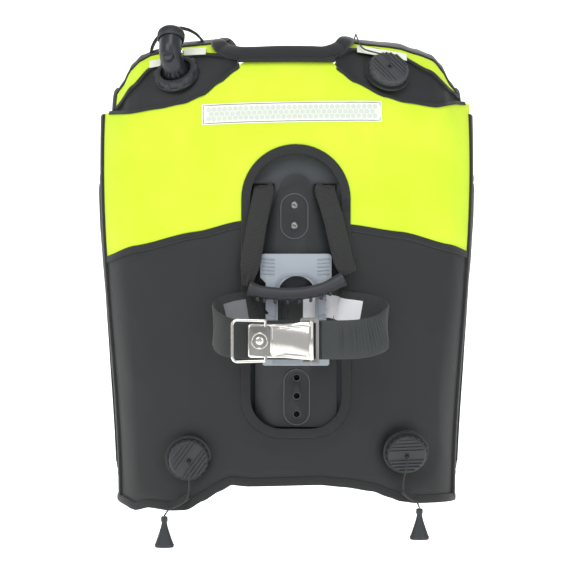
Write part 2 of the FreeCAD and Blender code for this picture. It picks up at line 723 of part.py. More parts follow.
def dump_base(label, place):
    flange = cylinder(label + "_flange", "sizes.flangeRadius", "sizes.flangeHeight")
    neck = cylinder(label + "_neck", "sizes.neckRadius", "sizes.neckDepth + 1", (0, 0, -val("neckDepth")))
    bore = cylinder(label + "_bore", "sizes.neckBore", "sizes.neckDepth + 10", (0, 0, 2 - val("neckDepth")))
    seat = cylinder(label + "_seat", "sizes.poppetRadius - 3", "60", (0, 0, -30))
    base = subtract(label + "_cut", join(label + "_solid", [flange, neck]),
                    join(label + "_holes", [bore, seat]))
    doc.recompute()
    keep(base, label + "_base", place)


def dump_cap(label, place):
    """The screwed cap: hollow below, ridged on top, with a hole for the pull cord."""
    body = new_body(label + "_cap_body")
    disc = new_sketch(body)
    draw_circle(disc, "capRadius")
    feature(body, "Pad", disc, "capHeight")
    hollow = new_sketch(body)
    draw_circle(hollow, "capHollowRadius")
    feature(body, "Pocket", hollow, "capHollowDepth", Reversed=True)
    groove = new_sketch(body, offset=val("capHeight"))
    pitch = val("ridgePitch")
    draw_rounded(groove, -15, 15, 7, 7 + pitch / 2, 1)
    draw_rounded(groove, -15, 15, -7 - pitch / 2, -7, 1)
    draw_rounded(groove, -11, 11, 7 + pitch, 7 + 1.5 * pitch, 1)
    draw_rounded(groove, -11, 11, -7 - 1.5 * pitch, -7 - pitch, 1)
    feature(body, "Pocket", groove, 1.6)
    hole = new_sketch(body, offset=val("capHeight"))
    draw_circle(hole, "cordHoleRadius")
    feature(body, "Pocket", hole, 30)
    keep(body, label + "_cap", place)


def dump_poppet(label, place):
    disc = cylinder(label + "_disc", "sizes.poppetRadius", "sizes.poppetThickness")
    stem = cylinder(label + "_stem", "sizes.stemRadius", "13")
    keep(join(label + "_poppet_joined", [disc, stem]), label + "_poppet", place)


def coil_spring(length, turns=4):
    """A flat-wire coil spring about Z."""
    radius, half = val("springRadius"), val("springWire") / 2
    coil = Part.makeHelix(length / turns, length, radius)
    section = Part.makePolygon([Vector(radius + x, 0, z) for x, z in
                                ((-half, -half), (half, -half), (half, half), (-half, half), (-half, -half))])
    return Part.Wire(coil.Edges).makePipeShell([section], True, True)


def dump_valves():
    springs = []
    neck, flange = val("neckDepth"), val("flangeHeight")
    for side, (centre, normal) in VALVES.items():
        label = side + "_dump"
        dump_base(label, along(centre, normal))
        dump_cap(label, along(centre, normal, flange + 0.3))
        dump_poppet(label, along(centre, normal, 2.3 - neck))
        margin = 0.3 + val("springWire") / 2
        low = 2.3 - neck + val("poppetThickness") + margin
        length = flange + 0.3 + val("capHollowDepth") - margin - low
        spring = coil_spring(length)
        spring.Placement = along(centre, normal, low)
        springs.append(spring)
    soft_part("valve_springs", Part.makeCompound(springs))


# ---------------------------------------------------------------- pull cords and toggles

CORD_ROUTES = {
    "left": ((-134.1, -19.4, -197.2), (-133.5, -24.7, -199), (-133.2, -28, -204.5), (-133.4, -27.5, -213),
             (-134, -23, -225), (-134.5, -16, -237), (-137, -11.5, -247), (-144.5, -9.5, -254),
             (-154.5, -8.5, -257.5), (-163, -8, -262), (-167, -8, -269.5)),
    "right": ((149.9, -16.6, -191.6), (150.2, -21.3, -194), (149.6, -24, -199), (148, -23.5, -207),
              (146, -19, -218), (144.5, -13.5, -229), (146, -9.5, -238.5), (151.5, -7.5, -245),
              (159.5, -6.5, -248.5), (165, -6, -253.5), (166.5, -6, -259.5)),
    "shoulder": ((128.6, 0.9, 320.2), (129.4, -3.4, 323.5), (126.4, -6.6, 329), (119.4, -6.6, 333.6),
                 (111, -3, 336.2), (103, 5, 339), (95, 18.5, 343), (89.5, 32, 350), (87, 51, 361.5),
                 (86, 72, 368.5), (86, 94, 371.5), (86, 117, 370.8), (85.3, 138, 366.3), (84, 158, 358.5),
                 (82.5, 175.5, 346.5), (80.5, 190, 330), (77.5, 200, 311), (74, 206.5, 290), (70, 210, 268),
                 (67.5, 211.5, 248), (67, 211.5, 232)),
}


def cord_tube(name):
    """A cord as straight runs joined by tangent arcs, swept with a round section."""
    points = [Vector(*point) for point in CORD_ROUTES[name]]
    edges, last, radii = [], points[0], []
    for before, corner, after in zip(points, points[1:], points[2:]):
        into, out = (corner - before), (after - corner)
        shorter = min(into.Length, out.Length)
        turn = into.getAngle(out)
        into.normalize()
        out.normalize()
        cut = 0.45 * shorter
        radius = cut / math.tan(turn / 2)
        radii.append(round(radius, 1))
        bisector = (out - into).normalize()
        middle = corner + bisector * (radius / math.cos(turn / 2) - radius)
        start, end = corner - into * cut, corner + out * cut
        edges.append(Part.LineSegment(last, start).toShape())
        edges.append(Part.Arc(start, middle, end).toShape())
        last = end
    edges.append(Part.LineSegment(last, points[-1]).toShape())
    path = Part.Wire(edges)
    radius = val("cordRadius")
    section = Part.Wire(Part.makeCircle(radius, points[0], points[1] - points[0]))
    tube = path.makePipeShell([section], True, True)
    expected = math.pi * radius ** 2 * path.Length
    print("cord", name, "length", round(path.Length, 1), "radii", min(radii), radii,
          "volume ratio", round(tube.Volume / expected, 4))
    soft_part(name + "_pull_cord", tube)


def toggle(name):
    """The bell-shaped pull on the cord's end, hanging straight down."""
    x, y, z = CORD_ROUTES[name][-1]
    label = name + "_toggle"
    length = val("toggleLength")
    knob = cylinder(label + "_knob", "4.5", "7", (0, 0, -7))
    bell = doc.addObject("Part::Cone", label + "_bell")
    bind(bell, Radius1="sizes.toggleRadius - 4", Radius2="4", Height="sizes.toggleLength - 12")
    bell.Placement = Placement(Vector(0, 0, 6 - length), Rotation())
    foot = cylinder(label + "_foot", "sizes.toggleRadius", "6.5", (0, 0, -length))
    keep(join(label + "_joined", [knob, bell, foot]), label, Placement(Vector(x, y, z - 0.4), Rotation()))


def cords_and_toggles():
    for name in CORD_ROUTES:
        cord_tube(name)
        toggle(name)


# ---------------------------------------------------------------- inflator elbow

ELBOW_OUT = Vector(0.05, 0.55, 0.83)        # which way the hose outlet points, roughly


def elbow_frame():
    """The elbow's own axes: Z out of the cloth and X towards the outlet."""
    centre, normal = ELBOW
    up = Vector(*normal).normalize()
    out = ELBOW_OUT - up * ELBOW_OUT.dot(up)
    out.normalize()
    return Placement(Vector(*centre), Rotation(out, up.cross(out), up, "ZXY"))


def inflator_elbow():
    frame = elbow_frame()
    bend, angle, rise = val("elbowBendRadius"), math.radians(val("elbowBendAngle")), 22
    foot = doc.addObject("Part::Cone", "elbow_foot")
    bind(foot, Radius1="20.5", Radius2="sizes.elbowTubeRadius", Height="17")
    foot.Placement = Placement(Vector(0, 0, 1), Rotation())
    riser = cylinder("elbow_riser", "sizes.elbowTubeRadius", str(rise - 1), (0, 0, 1))
    knee = doc.addObject("Part::Torus", "elbow_knee")
    bind(knee, Radius1="sizes.elbowBendRadius", Radius2="sizes.elbowTubeRadius", Angle3="sizes.elbowBendAngle")
    knee.Placement = Placement(Vector(bend, 0, rise),
                               Rotation(Vector(-1, 0, 0), Vector(0, 0, 1), Vector(0, 1, 0), "ZXY"))
    outlet_at = Vector(bend - bend * math.cos(angle), 0, rise + bend * math.sin(angle))
    outlet_way = Vector(math.sin(angle), 0, math.cos(angle))
    length = 22
    outlet = cylinder("elbow_outlet", "sizes.elbowTubeRadius", str(length), outlet_at, outlet_way)
    bore = cylinder("elbow_bore", "sizes.elbowBore", "21", outlet_at + outlet_way * 2, outlet_way)
    elbow = subtract("elbow_cut", join("elbow_joined", [foot, riser, knee, outlet]), bore)
    keep(elbow, "inflator_elbow", frame)
    cuff = subtract("cuff_cut",
                    cylinder("cuff_body", "sizes.cuffRadius", "sizes.cuffLength"),
                    cylinder("cuff_hole", "sizes.elbowTubeRadius + 0.3", "60", (0, 0, -20)))
    start = outlet_at + outlet_way * (length - val("cuffLength") - 1)
    keep(cuff, "hose_cuff", frame.multiply(Placement(start, Rotation(Vector(0, 0, 1), outlet_way))))
    mouth = frame.multVec(outlet_at + outlet_way * length)
    print("elbow outlet", mouth, "axis", frame.Rotation.multVec(outlet_way))


def elbow_ring():
    """The notched ring that clamps the elbow to the vest."""
    body = new_body("elbow_ring_body")
    disc = new_sketch(body)
    draw_circle(disc, "ringRadius")
    feature(body, "Pad", disc, "ringHeight")
    hole = new_sketch(body, offset=val("ringHeight"))
    hole.addGeometry(Part.Circle(Vector(), Vector(0, 0, 1), 21), False)
    feature(body, "Pocket", hole, 30)
    notch = new_sketch(body, offset=val("ringHeight"))
    draw_rounded(notch, 27.5, 33, -5, 5, 1)
    cut = feature(body, "Pocket", notch, 8)
    pattern = body.newObject("PartDesign::PolarPattern", "elbow_ring_pattern")
    pattern.Originals = [cut]
    axis = [f for f in body.Origin.OriginFeatures if f.Role == "Z_Axis"][0]
    pattern.Axis = (axis, [""])
    pattern.Angle, pattern.Occurrences = 360, 10
    body.Tip = pattern
    keep(body, "elbow_ring", elbow_frame().multiply(Placement(Vector(0, 0, 0.6), Rotation())))


def hose_keeper():
    """The webbing loop over the shoulder that keeps the hose in place."""
    axis = Vector(0, 1, 0)
    centre = Vector(-152, 66, 340)
    ring = Part.makeCylinder(39, 24, centre, axis).cut(Part.makeCylinder(36, 24, centre, axis))
    loop = ring.common(Part.makeBox(120, 60, 60, Vector(-212, 40, 340)))
    wing = [obj for obj in parts if obj.Label == "shoulder_wing_left"][0]
    loop = loop.cut(wing.Shape)
    soft_part("hose_keeper", max(loop.Solids, key=lambda solid: solid.Volume))


# ---------------------------------------------------------------- front buckles, straps, rings, zips

SHOULDER_STRAP_X = 120
SHOULDER_SPLIT = 195.5      # where the shoulder buckle's halves meet
BUCKLE_PRONG = 18


def side_release(name):
    """A socket and a pronged half, drawn upright with the split at Z = 0."""
    wide, thick = val("buckleWidth"), val("buckleThickness")
    long, short = val("socketLength"), val("maleLength")
    shell = block(name + "_shell", "sizes.buckleWidth", "sizes.buckleThickness", "sizes.socketLength",
                  (-wide / 2, 0, 0.3))
    hollow = block(name + "_hollow", str(wide - 8), str(thick - 5), str(BUCKLE_PRONG + 5),
                   (4 - wide / 2, 2.5, -1))
    bar_slot = block(name + "_bar_slot", str(wide - 12), "30", "5", (6 - wide / 2, -5, long - 9))
    socket = subtract(name + "_socket_cut", shell, join(name + "_socket_holes", [hollow, bar_slot]))
    plug = block(name + "_plug", "sizes.buckleWidth - 4", "sizes.buckleThickness - 2", str(short - BUCKLE_PRONG + 2),
                 (2 - wide / 2, 1, -(short - BUCKLE_PRONG + 2)))
    prongs = [block(name + "_prong%d" % index, "8", "sizes.buckleThickness - 7", str(BUCKLE_PRONG + 1),
                    (x - 4, 3.5, -1)) for index, x in enumerate((-17, 0, 17))]
    male = join(name + "_male_joined", [plug] + prongs)
    doc.recompute()
    return socket, male


def shoulder_buckles():
    sockets = []
    for side, sign in (("left", -1), ("right", 1)):
        socket, male = side_release("shoulder_" + side)
        place = Placement(Vector(centreX + sign * SHOULDER_STRAP_X, 191, SHOULDER_SPLIT), Rotation())
        keep(male, "shoulder_buckle_" + side, place)
        shape = socket.Shape.copy()
        shape.Placement = place
        sockets.append(shape)
        x = centreX + sign * SHOULDER_STRAP_X
        half, thick = val("strapWidth") / 2, val("strapThickness")
        profile = [(200, 181), (206.6, 150), (206.6, 62)]
        strip = [(y, z) for y, z in profile] + [(y + thick, z) for y, z in reversed(profile)]
        wire = Part.makePolygon([Vector(x - half, y, z) for y, z in strip + strip[:1]])
        soft_part("shoulder_strap_" + side, Part.Face(wire).extrude(Vector(2 * half, 0, 0)))
    soft_part("shoulder_buckle_sockets", Part.makeCompound(sockets))


WAIST_SPLIT = -14.0
WAIST_Z = -78.0


def waist_belt():
    socket, male = side_release("waist")
    turned = Placement(Vector(WAIST_SPLIT, 197, WAIST_Z), Rotation(Vector(0, 1, 0), -90))
    keep(socket, "waist_buckle_socket", turned)
    keep(male, "waist_buckle_male", turned)
    half, thick = val("strapWidth") / 2, val("strapThickness")
    for side, sign, start in (("left", -1, WAIST_SPLIT - val("socketLength") - 1),
                              ("right", 1, WAIST_SPLIT + 15)):
        def point(across, up, inset, side=sign, start=start):
            edge = ring_point(80, WAIST_Z, -1.5, side)
            if across < 0.3:
                spot = Vector(start + (edge.x - start) * across / 0.3, edge.y, 0)
            else:
                spot = ring_point(80 - 25 * (across - 0.3) / 0.7, WAIST_Z, -1.5, side)
            return Vector(spot.x, spot.y - inset, WAIST_Z - half + 2 * half * up)
        soft_part("waist_strap_" + side, slab(point, 20, 2, -thick, 0))


D_RING_X, D_RING_Z = 152, 96


def d_rings():
    """Two steel rings on webbing tabs, each free to swing on its straight bar."""
    wire, half = val("dRingWire"), val("dRingWidth") / 2
    tabs = []
    for side, sign in (("left", -1), ("right", 1)):
        centre = ring_point(55, D_RING_Z, 0, sign)
        centre.y = 204
        bow = doc.addObject("Part::Torus", "d_ring_bow_" + side)
        bind(bow, Radius1="sizes.dRingWidth / 2 - sizes.dRingWire", Radius2="sizes.dRingWire", Angle3="180")
        bow.Placement = Placement(Vector(), Rotation(Vector(-1, 0, 0), Vector(0, 0, -1), Vector(0, -1, 0), "ZXY"))
        bar = cylinder("d_ring_bar_" + side, "sizes.dRingWire", "sizes.dRingWidth - 2 * sizes.dRingWire",
                       (wire - half, 0, 0), (1, 0, 0))
        keep(join("d_ring_joined_" + side, [bow, bar]), "d_ring_" + side, Placement(centre, Rotation()))
        print("d ring", side, centre)
        tab = Part.makeBox(28, 7.5, 26, centre + Vector(-14, -3.7, -4))
        tabs.append(tab.cut(Part.makeCylinder(wire + 0.1, 60, centre - Vector(30, 0, 0), Vector(1, 0, 0))))
    soft_part("d_ring_tabs", Part.makeCompound(tabs))


ZIP_ANGLE, ZIP_LOW, ZIP_HIGH = 42, -168, -52


def zip_sliders():
    wide, long = val("sliderWidth"), val("sliderLength")
    for side, sign in (("left", -1), ("right", 1)):
        low = ring_point(ZIP_ANGLE, ZIP_LOW, -val("pocketThickness"), sign)
        high = ring_point(ZIP_ANGLE, ZIP_HIGH, -val("pocketThickness"), sign)
        beside = ring_point(ZIP_ANGLE + 3, ZIP_HIGH, -val("pocketThickness"), sign)
        rise = (high - low).normalize()
        normal = rise.cross(beside - high).normalize()
        if normal.y < 0:
            normal = normal * -1
        slider = block("slider_block_" + side, "sizes.sliderWidth", "4", "sizes.sliderLength", (-wide / 2, 1, 0))
        tab = block("slider_tab_" + side, "5", "1.6", "24", (-2.5, 4, -20))
        place = Placement(high + normal * 0.4, Rotation(normal.cross(rise), normal, rise, "ZYX"))
        keep(join("slider_joined_" + side, [slider, tab]), "zip_slider_" + side, place)
        print("zip", side, "axis", low - high, "at", high)


# ---------------------------------------------------------------- the whole vest

BUILDERS = (back_shell, shoulder_gussets, shoulder_wings, front_lobes, bladder_and_pad, collar_pad,
            pockets, cummerbunds, backplate, plate_screws, grip_pad, tank_band, buckle_frame, cam_pin,
            cam_lever, buckle_bail, handle_anchors, carry_webbing, carry_grip, dump_valves, cords_and_toggles,
            inflator_elbow, elbow_ring, hose_keeper, shoulder_buckles, waist_belt, d_rings, zip_sliders)
for build in BUILDERS:
    build()
doc.recompute()

for obj in doc.Objects:
    if "Invalid" in obj.State or "Error" in obj.State:
        raise RuntimeError(obj.Name + " failed to rebuild")
for obj in parts:
    if obj.Shape.isNull() or not obj.Shape.isValid():
        raise RuntimeError(obj.Label + " has no valid shape")
for obj in parts:
    obj.Shape.exportStep("parts/%s.step" % obj.Label)
print(len(parts), "sub-parts written")
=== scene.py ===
import json
import math
import bpy
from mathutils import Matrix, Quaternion, Vector, noise

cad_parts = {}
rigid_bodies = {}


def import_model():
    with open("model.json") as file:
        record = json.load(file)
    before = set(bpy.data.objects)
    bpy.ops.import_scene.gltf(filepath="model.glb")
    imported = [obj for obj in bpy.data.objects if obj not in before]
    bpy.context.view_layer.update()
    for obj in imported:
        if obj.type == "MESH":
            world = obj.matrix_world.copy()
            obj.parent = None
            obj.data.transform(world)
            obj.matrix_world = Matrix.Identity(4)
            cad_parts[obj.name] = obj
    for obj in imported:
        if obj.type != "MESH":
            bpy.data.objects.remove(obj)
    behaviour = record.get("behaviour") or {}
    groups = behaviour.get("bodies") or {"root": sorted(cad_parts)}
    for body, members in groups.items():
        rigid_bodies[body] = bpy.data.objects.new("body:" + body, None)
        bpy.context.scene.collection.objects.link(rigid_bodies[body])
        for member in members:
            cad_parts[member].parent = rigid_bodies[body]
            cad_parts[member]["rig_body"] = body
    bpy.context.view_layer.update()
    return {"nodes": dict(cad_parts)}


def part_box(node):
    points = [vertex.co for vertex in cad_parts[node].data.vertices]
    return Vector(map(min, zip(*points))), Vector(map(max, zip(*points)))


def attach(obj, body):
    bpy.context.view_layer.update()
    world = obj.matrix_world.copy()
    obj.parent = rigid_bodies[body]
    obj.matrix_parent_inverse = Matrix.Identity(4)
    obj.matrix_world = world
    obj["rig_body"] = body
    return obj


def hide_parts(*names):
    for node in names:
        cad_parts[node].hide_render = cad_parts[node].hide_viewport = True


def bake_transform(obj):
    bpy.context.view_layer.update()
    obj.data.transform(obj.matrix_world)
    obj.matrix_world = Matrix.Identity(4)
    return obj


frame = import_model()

print("frame loaded")


# handling of pieces

def deselectAll():
    for other in bpy.context.scene.objects:
        other.select_set(False)


def activate(piece):
    deselectAll()
    piece.select_set(True)
    bpy.context.view_layer.objects.active = piece


def inEditMode(piece, *actions):
    # runs operators on everything in the piece
    activate(piece)
    bpy.ops.object.mode_set(mode="EDIT")
    bpy.ops.mesh.select_all(action="SELECT")
    for action in actions:
        action()
    bpy.ops.object.mode_set(mode="OBJECT")


def tidyNormals():
    bpy.ops.mesh.remove_doubles(threshold=0.00001)
    bpy.ops.mesh.normals_make_consistent(inside=False)


def applyModifier(piece, kind, **settings):
    activate(piece)
    modifier = piece.modifiers.new(kind.lower(), kind)
    for name, value in settings.items():
        setattr(modifier, name, value)
    bpy.ops.object.modifier_apply(modifier=modifier.name)
    return piece


def finishPiece(piece, name, material, body="root", smooth=35):
    # settles a piece: place into the mesh, shading, material and the body it rides on
    activate(piece)
    piece.name = piece.data.name = name
    bpy.ops.object.transform_apply(location=True, rotation=True, scale=True)
    if smooth:
        bpy.ops.object.shade_smooth_by_angle(angle=math.radians(smooth))
    if material is not None:
        piece.data.materials.clear()
        piece.data.materials.append(material)
    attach(piece, body)
    return piece


def joinPieces(pieces):
    deselectAll()
    for piece in pieces:
        piece.select_set(True)
    bpy.context.view_layer.objects.active = pieces[0]
    bpy.ops.object.join()
    return pieces[0]


def turnTo(piece, centre, normal, spin=0.0):
    # stands a piece drawn along Z at a place, with its Z along the normal
    turn = Vector((0, 0, 1)).rotation_difference(Vector(normal).normalized())
    piece.rotation_mode = "QUATERNION"
    piece.rotation_quaternion = turn @ Quaternion((0, 0, 1), spin)
    piece.location = centre
    activate(piece)
    bpy.ops.object.transform_apply(location=True, rotation=True, scale=True)
    return piece


def meshPiece(name, vertices, faces):
    mesh = bpy.data.meshes.new(name)
    mesh.from_pydata([tuple(v) for v in vertices], [], faces)
    piece = bpy.data.objects.new(name, mesh)
    bpy.context.scene.collection.objects.link(piece)
    return piece


def lathe(name, profile, steps=48):
    # spins a (radius, height) profile about Z
    mesh = bpy.data.meshes.new(name)
    count = len(profile)
    mesh.from_pydata([(r, 0, z) for r, z in profile], [(i, i + 1) for i in range(count - 1)], [])
    piece = bpy.data.objects.new(name, mesh)
    bpy.context.scene.collection.objects.link(piece)
    inEditMode(piece, lambda: bpy.ops.mesh.spin(steps=steps, angle=2 * math.pi, center=(0, 0, 0),
                                                axis=(0, 0, 1)), tidyNormals)
    return piece


def plateFrom(name, outline, back, front, bevel=0.001, segments=3):
    # a flat plate drawn as (x, z), from the depth "back" out to the depth "front" (towards -Y)
    bpy.ops.mesh.primitive_circle_add(vertices=len(outline), radius=1, fill_type="NGON")
    piece = bpy.context.object
    for vertex, (x, z) in zip(piece.data.vertices, outline):
        vertex.co = (x, back, z)
    inEditMode(piece, lambda: bpy.ops.mesh.extrude_region_move(
        TRANSFORM_OT_translate={"value": (0, front - back, 0)}), tidyNormals)
    if bevel:
        applyModifier(piece, "BEVEL", width=bevel, segments=segments, limit_method="ANGLE",
                      angle_limit=math.radians(50))
    piece.name = name
    return piece


def stadiumOutline(x, bottom, top, half, steps=20):
    points = []
    for index in range(steps + 1):
        turn = math.pi * index / steps
        points.append((x + half * math.cos(turn), top - half + half * math.sin(turn)))
    for index in range(steps + 1):
        turn = math.pi + math.pi * index / steps
        points.append((x + half * math.cos(turn), bottom + half + half * math.sin(turn)))
    return points


def roundedOutline(corners, radius, steps=6):
    # a closed outline with each corner rounded; radius is one number or one per corner
    points = []
    count = len(corners)
    for index, corner in enumerate(corners):
        reach = radius[index] if isinstance(radius, (list, tuple)) else radius
        here = Vector(corner)
        before = Vector(corners[index - 1]) - here
        after = Vector(corners[(index + 1) % count]) - here
        reach = min(reach, 0.45 * before.length, 0.45 * after.length)
        start, end = here + before.normalized() * reach, here + after.normalized() * reach
        for step in range(steps + 1):
            share = step / steps
            point = start * (1 - share) ** 2 + here * 2 * share * (1 - share) + end * share ** 2
            points.append((point.x, point.y))
    return points


def smoothLine(points, perSpan=8, closed=False):
    # a dense smooth line through a few points
    line = [Vector(p) for p in points]
    count = len(line)
    spans = count if closed else count - 1
    dense = []
    for index in range(spans):
        if closed:
            a, b, c, d = (line[(index + k) % count] for k in (-1, 0, 1, 2))
        else:
            b, c = line[index], line[index + 1]
            a = line[index - 1] if index else b * 2 - c
            d = line[index + 2] if index + 2 < count else c * 2 - b
        for step in range(perSpan):
            s = step / perSpan
            dense.append(0.5 * ((2 * b) + (c - a) * s + (2 * a - 5 * b + 4 * c - d) * s ** 2
                                + (3 * b - a - 3 * c + d) * s ** 3))
    if not closed:
        dense.append(line[-1])
    return dense


def tape(name, track, width, thick, closed=False, ribs=0.0, pitch=0.0025):
    # a soft flat tape along (place, normal) pairs; its UV runs along and across
    count = len(track)
    section = [(-1, 0), (-0.92, 0.8), (-0.45, 1), (0, 1.05), (0.45, 1), (0.92, 0.8), (1, 0),
               (0.92, -0.8), (0, -1), (-0.92, -0.8)]
    size = len(section)
    vertices, uvs, travelled = [], [], 0.0
    for index, (place, normal) in enumerate(track):
        ahead = track[(index + 1) % count][0] if closed or index + 1 < count else place
        behind = track[index - 1][0] if closed or index else place
        tangent = (ahead - behind).normalized()
        across = tangent.cross(normal).normalized()
        up = across.cross(tangent).normalized()
        if index:
            travelled += (place - track[index - 1][0]).length
        lift = ribs * (0.5 + 0.5 * math.sin(2 * math.pi * travelled / pitch)) if ribs else 0.0
        for a, b in section:
            raised = b * thick / 2 + (lift if b > 0.5 else 0.0)
            vertices.append(place + across * (a * width / 2) + up * raised)
            uvs.append((travelled, a * width / 2))
    faces = []
    for index in range(count if closed else count - 1):
        low, high = index * size, ((index + 1) % count) * size
        for k in range(size):
            faces.append((low + k, low + (k + 1) % size, high + (k + 1) % size, high + k))
    if not closed:
        faces.append(tuple(reversed(range(size))))
        faces.append(tuple((count - 1) * size + k for k in range(size)))
    piece = meshPiece(name, vertices, faces)
    layer = piece.data.uv_layers.new(name="UVMap")
    for loop in piece.data.loops:
        layer.data[loop.index].uv = uvs[loop.vertex_index]
    inEditMode(piece, lambda: bpy.ops.mesh.normals_make_consistent(inside=False))
    return piece


# finishes

class Wire:
    # one socket, with arithmetic that adds its own Math nodes
    def __init__(self, finish, socket):
        self.finish, self.socket = finish, socket

    def math(self, operation, other, swapped=False):
        values = [other, self] if swapped else [self, other]
        return self.finish.node("ShaderNodeMath", {"operation": operation}, {0: values[0], 1: values[1]})

    def __add__(self, other):
        return self.math("ADD", other)

    def __radd__(self, other):
        return self.math("ADD", other, True)

    def __sub__(self, other):
        return self.math("SUBTRACT", other)

    def __rsub__(self, other):
        return self.math("SUBTRACT", other, True)

    def __mul__(self, other):
        return self.math("MULTIPLY", other)

    def __rmul__(self, other):
        return self.math("MULTIPLY", other, True)

    def __truediv__(self, other):
        return self.math("DIVIDE", other)

    def __pow__(self, other):
        return self.math("POWER", other)


class Finish:
    def __init__(self, name):
        self.material = bpy.data.materials.new(name)
        self.material.use_nodes = True
        self.tree = self.material.node_tree
        self.shader = self.tree.nodes["Principled BSDF"]

    def node(self, kind, settings=None, inputs=None, output=0):
        made = self.tree.nodes.new(kind)
        for name, value in (settings or {}).items():
            if name == "stops":
                ramp = made.color_ramp
                for element, (place, colour) in zip(ramp.elements, value):
                    element.position, element.color = place, colour
            else:
                setattr(made, name, value)
        for name, value in (inputs or {}).items():
            self.put(made.inputs[name], value)
        return Wire(self, made.outputs[output])

    def put(self, socket, value):
        if isinstance(value, Wire):
            self.tree.links.new(value.socket, socket)
        else:
            socket.default_value = value

    def surface(self, **sockets):
        for name, value in sockets.items():
            self.put(self.shader.inputs[name.replace("_", " ")], value)

    def place(self, stretch=(1, 1, 1), uv=False):
        coords = self.node("ShaderNodeTexCoord", output="UV" if uv else "Object")
        return self.node("ShaderNodeMapping", {}, {"Vector": coords, "Scale": stretch})

    def noise(self, scale, detail=2.0, rough=0.5, where=None):
        inputs = {"Scale": scale, "Detail": detail, "Roughness": rough}
        inputs["Vector"] = where if where is not None else self.place()
        return self.node("ShaderNodeTexNoise", {}, inputs)

    def wave(self, scale, direction="X", where=None):
        inputs = {"Scale": scale, "Vector": where if where is not None else self.place()}
        return self.node("ShaderNodeTexWave", {"bands_direction": direction}, inputs, output=1)

    def blend(self, factor, first, second):
        return self.node("ShaderNodeMix", {"data_type": "RGBA"}, {0: factor, 6: first, 7: second}, output=2)

    def bump(self, height, strength, distance=0.001):
        normal = self.node("ShaderNodeBump", {}, {"Height": height, "Strength": strength,
                                                   "Distance": distance})
        self.surface(Normal=normal)


def tint(red, green, blue):
    # a screen colour, 0 to 255, as linear light
    linear = [((c / 255 + 0.055) / 1.055) ** 2.4 if c > 10 else c / 3294 for c in (red, green, blue)]
    return tuple(linear) + (1,)


def wovenCloth(name, colour, paintedCreaseShade, weave=0.0011, depth=0.35, roughness=0.75, sheen=0.15):
    f = Finish(name)
    rate = 0.314 / weave
    threads = f.wave(rate, "X") * f.wave(rate, "Z")
    mottle = f.noise(11, 3, 0.6)
    fine = f.noise(700, 1)
    # the mottle blends the cloth towards its second, darker colour: painted shade standing in for the shade
    # in creases and on sides turning from the light
    shade = (mottle - 0.35) * 2.2 * 0.6 + fine * 0.25
    f.surface(Base_Color=f.blend(shade, paintedCreaseShade, colour), Roughness=mottle * 0.12 + roughness - 0.06,
              Sheen_Weight=sheen, Sheen_Roughness=0.5)
    f.bump(threads * 0.6 + f.noise(240, 3) * 0.5, depth, 0.0004)
    return f.material


def tapeWebbing(name, colour, worn, rib=0.0022, depth=0.7, roughness=0.7):
    # ribs run across the tape, read from its UV in metres
    f = Finish(name)
    along = f.place(uv=True)
    ribs = f.wave(0.314 / rib, "X", along)
    threads = f.wave(0.314 / 0.0011, "Y", along)
    speckle = f.noise(900, 2, 0.6, along)
    f.surface(Base_Color=f.blend(ribs * 0.55 + speckle * 0.4, colour, worn),
              Roughness=speckle * 0.15 + roughness - 0.07, Sheen_Weight=0.12)
    f.bump(ribs + threads * 0.35, depth, 0.0005)
    return f.material


def mouldedPlastic(name, colour, worn, roughness=0.42, grain=0.25, coat=0.0, scale=900):
    f = Finish(name)
    haze = f.noise(26, 4, 0.6)
    fine = f.noise(scale, 2)
    f.surface(Base_Color=f.blend(haze * 0.9, colour, worn),
              Roughness=haze * 0.16 + fine * 0.06 + roughness - 0.1,
              Coat_Weight=coat, Specular_IOR_Level=0.45)
    f.bump(fine, grain, 0.0002)
    return f.material


def polishedMetal(name, colour, roughness=0.12, brushed=0.0):
    f = Finish(name)
    smear = f.noise(60, 4, 0.6)
    lines = f.noise(300, 2, 0.5, f.place((1, 1, 0.03)))
    f.surface(Base_Color=f.blend(smear, colour, tuple(c * 0.8 for c in colour[:3]) + (1,)), Metallic=1.0,
              Roughness=smear * 0.1 + lines * brushed + roughness - 0.05)
    f.bump(lines, 0.04 + brushed * 0.3, 0.0001)
    return f.material


def plainSheet(name, colour, roughness=0.5, emission=0.0):
    f = Finish(name)
    mottle = f.noise(90, 3)
    f.surface(Base_Color=f.blend(mottle, colour, tuple(c * 0.93 for c in colour[:3]) + (1,)),
              Roughness=mottle * 0.15 + roughness)
    if emission:
        f.surface(Emission_Color=colour, Emission_Strength=emission)
    f.bump(mottle, 0.1, 0.0003)
    return f.material


# the second colour of each cloth is its darker painted crease shade
neonCloth = wovenCloth("neonCloth", tint(222, 246, 66), tint(200, 232, 22), depth=0.3, roughness=0.7,
                       sheen=0.06)
blackCloth = wovenCloth("blackCloth", tint(26, 28, 30), tint(17, 19, 21), depth=0.5, roughness=0.6,
                        sheen=0.06)
liningCloth = wovenCloth("liningCloth", tint(34, 36, 40), tint(22, 23, 26), weave=0.0028, depth=0.8,
                         roughness=0.8, sheen=0.2)
neoprene = wovenCloth("neoprene", tint(27, 28, 33), tint(18, 19, 23), weave=0.0016, depth=0.5,
                      roughness=0.85, sheen=0.25)
bindingTape = tapeWebbing("bindingTape", tint(14, 15, 17), tint(30, 32, 34), rib=0.0016, depth=0.5)
blackWebbing = tapeWebbing("blackWebbing", tint(24, 27, 27), tint(50, 55, 55))
handleWebbing = tapeWebbing("handleWebbing", tint(20, 22, 22), tint(44, 46, 43), rib=0.0018, depth=0.9)
platePlastic = mouldedPlastic("platePlastic", tint(28, 32, 35), tint(32, 36, 39), roughness=0.44, grain=0.2)
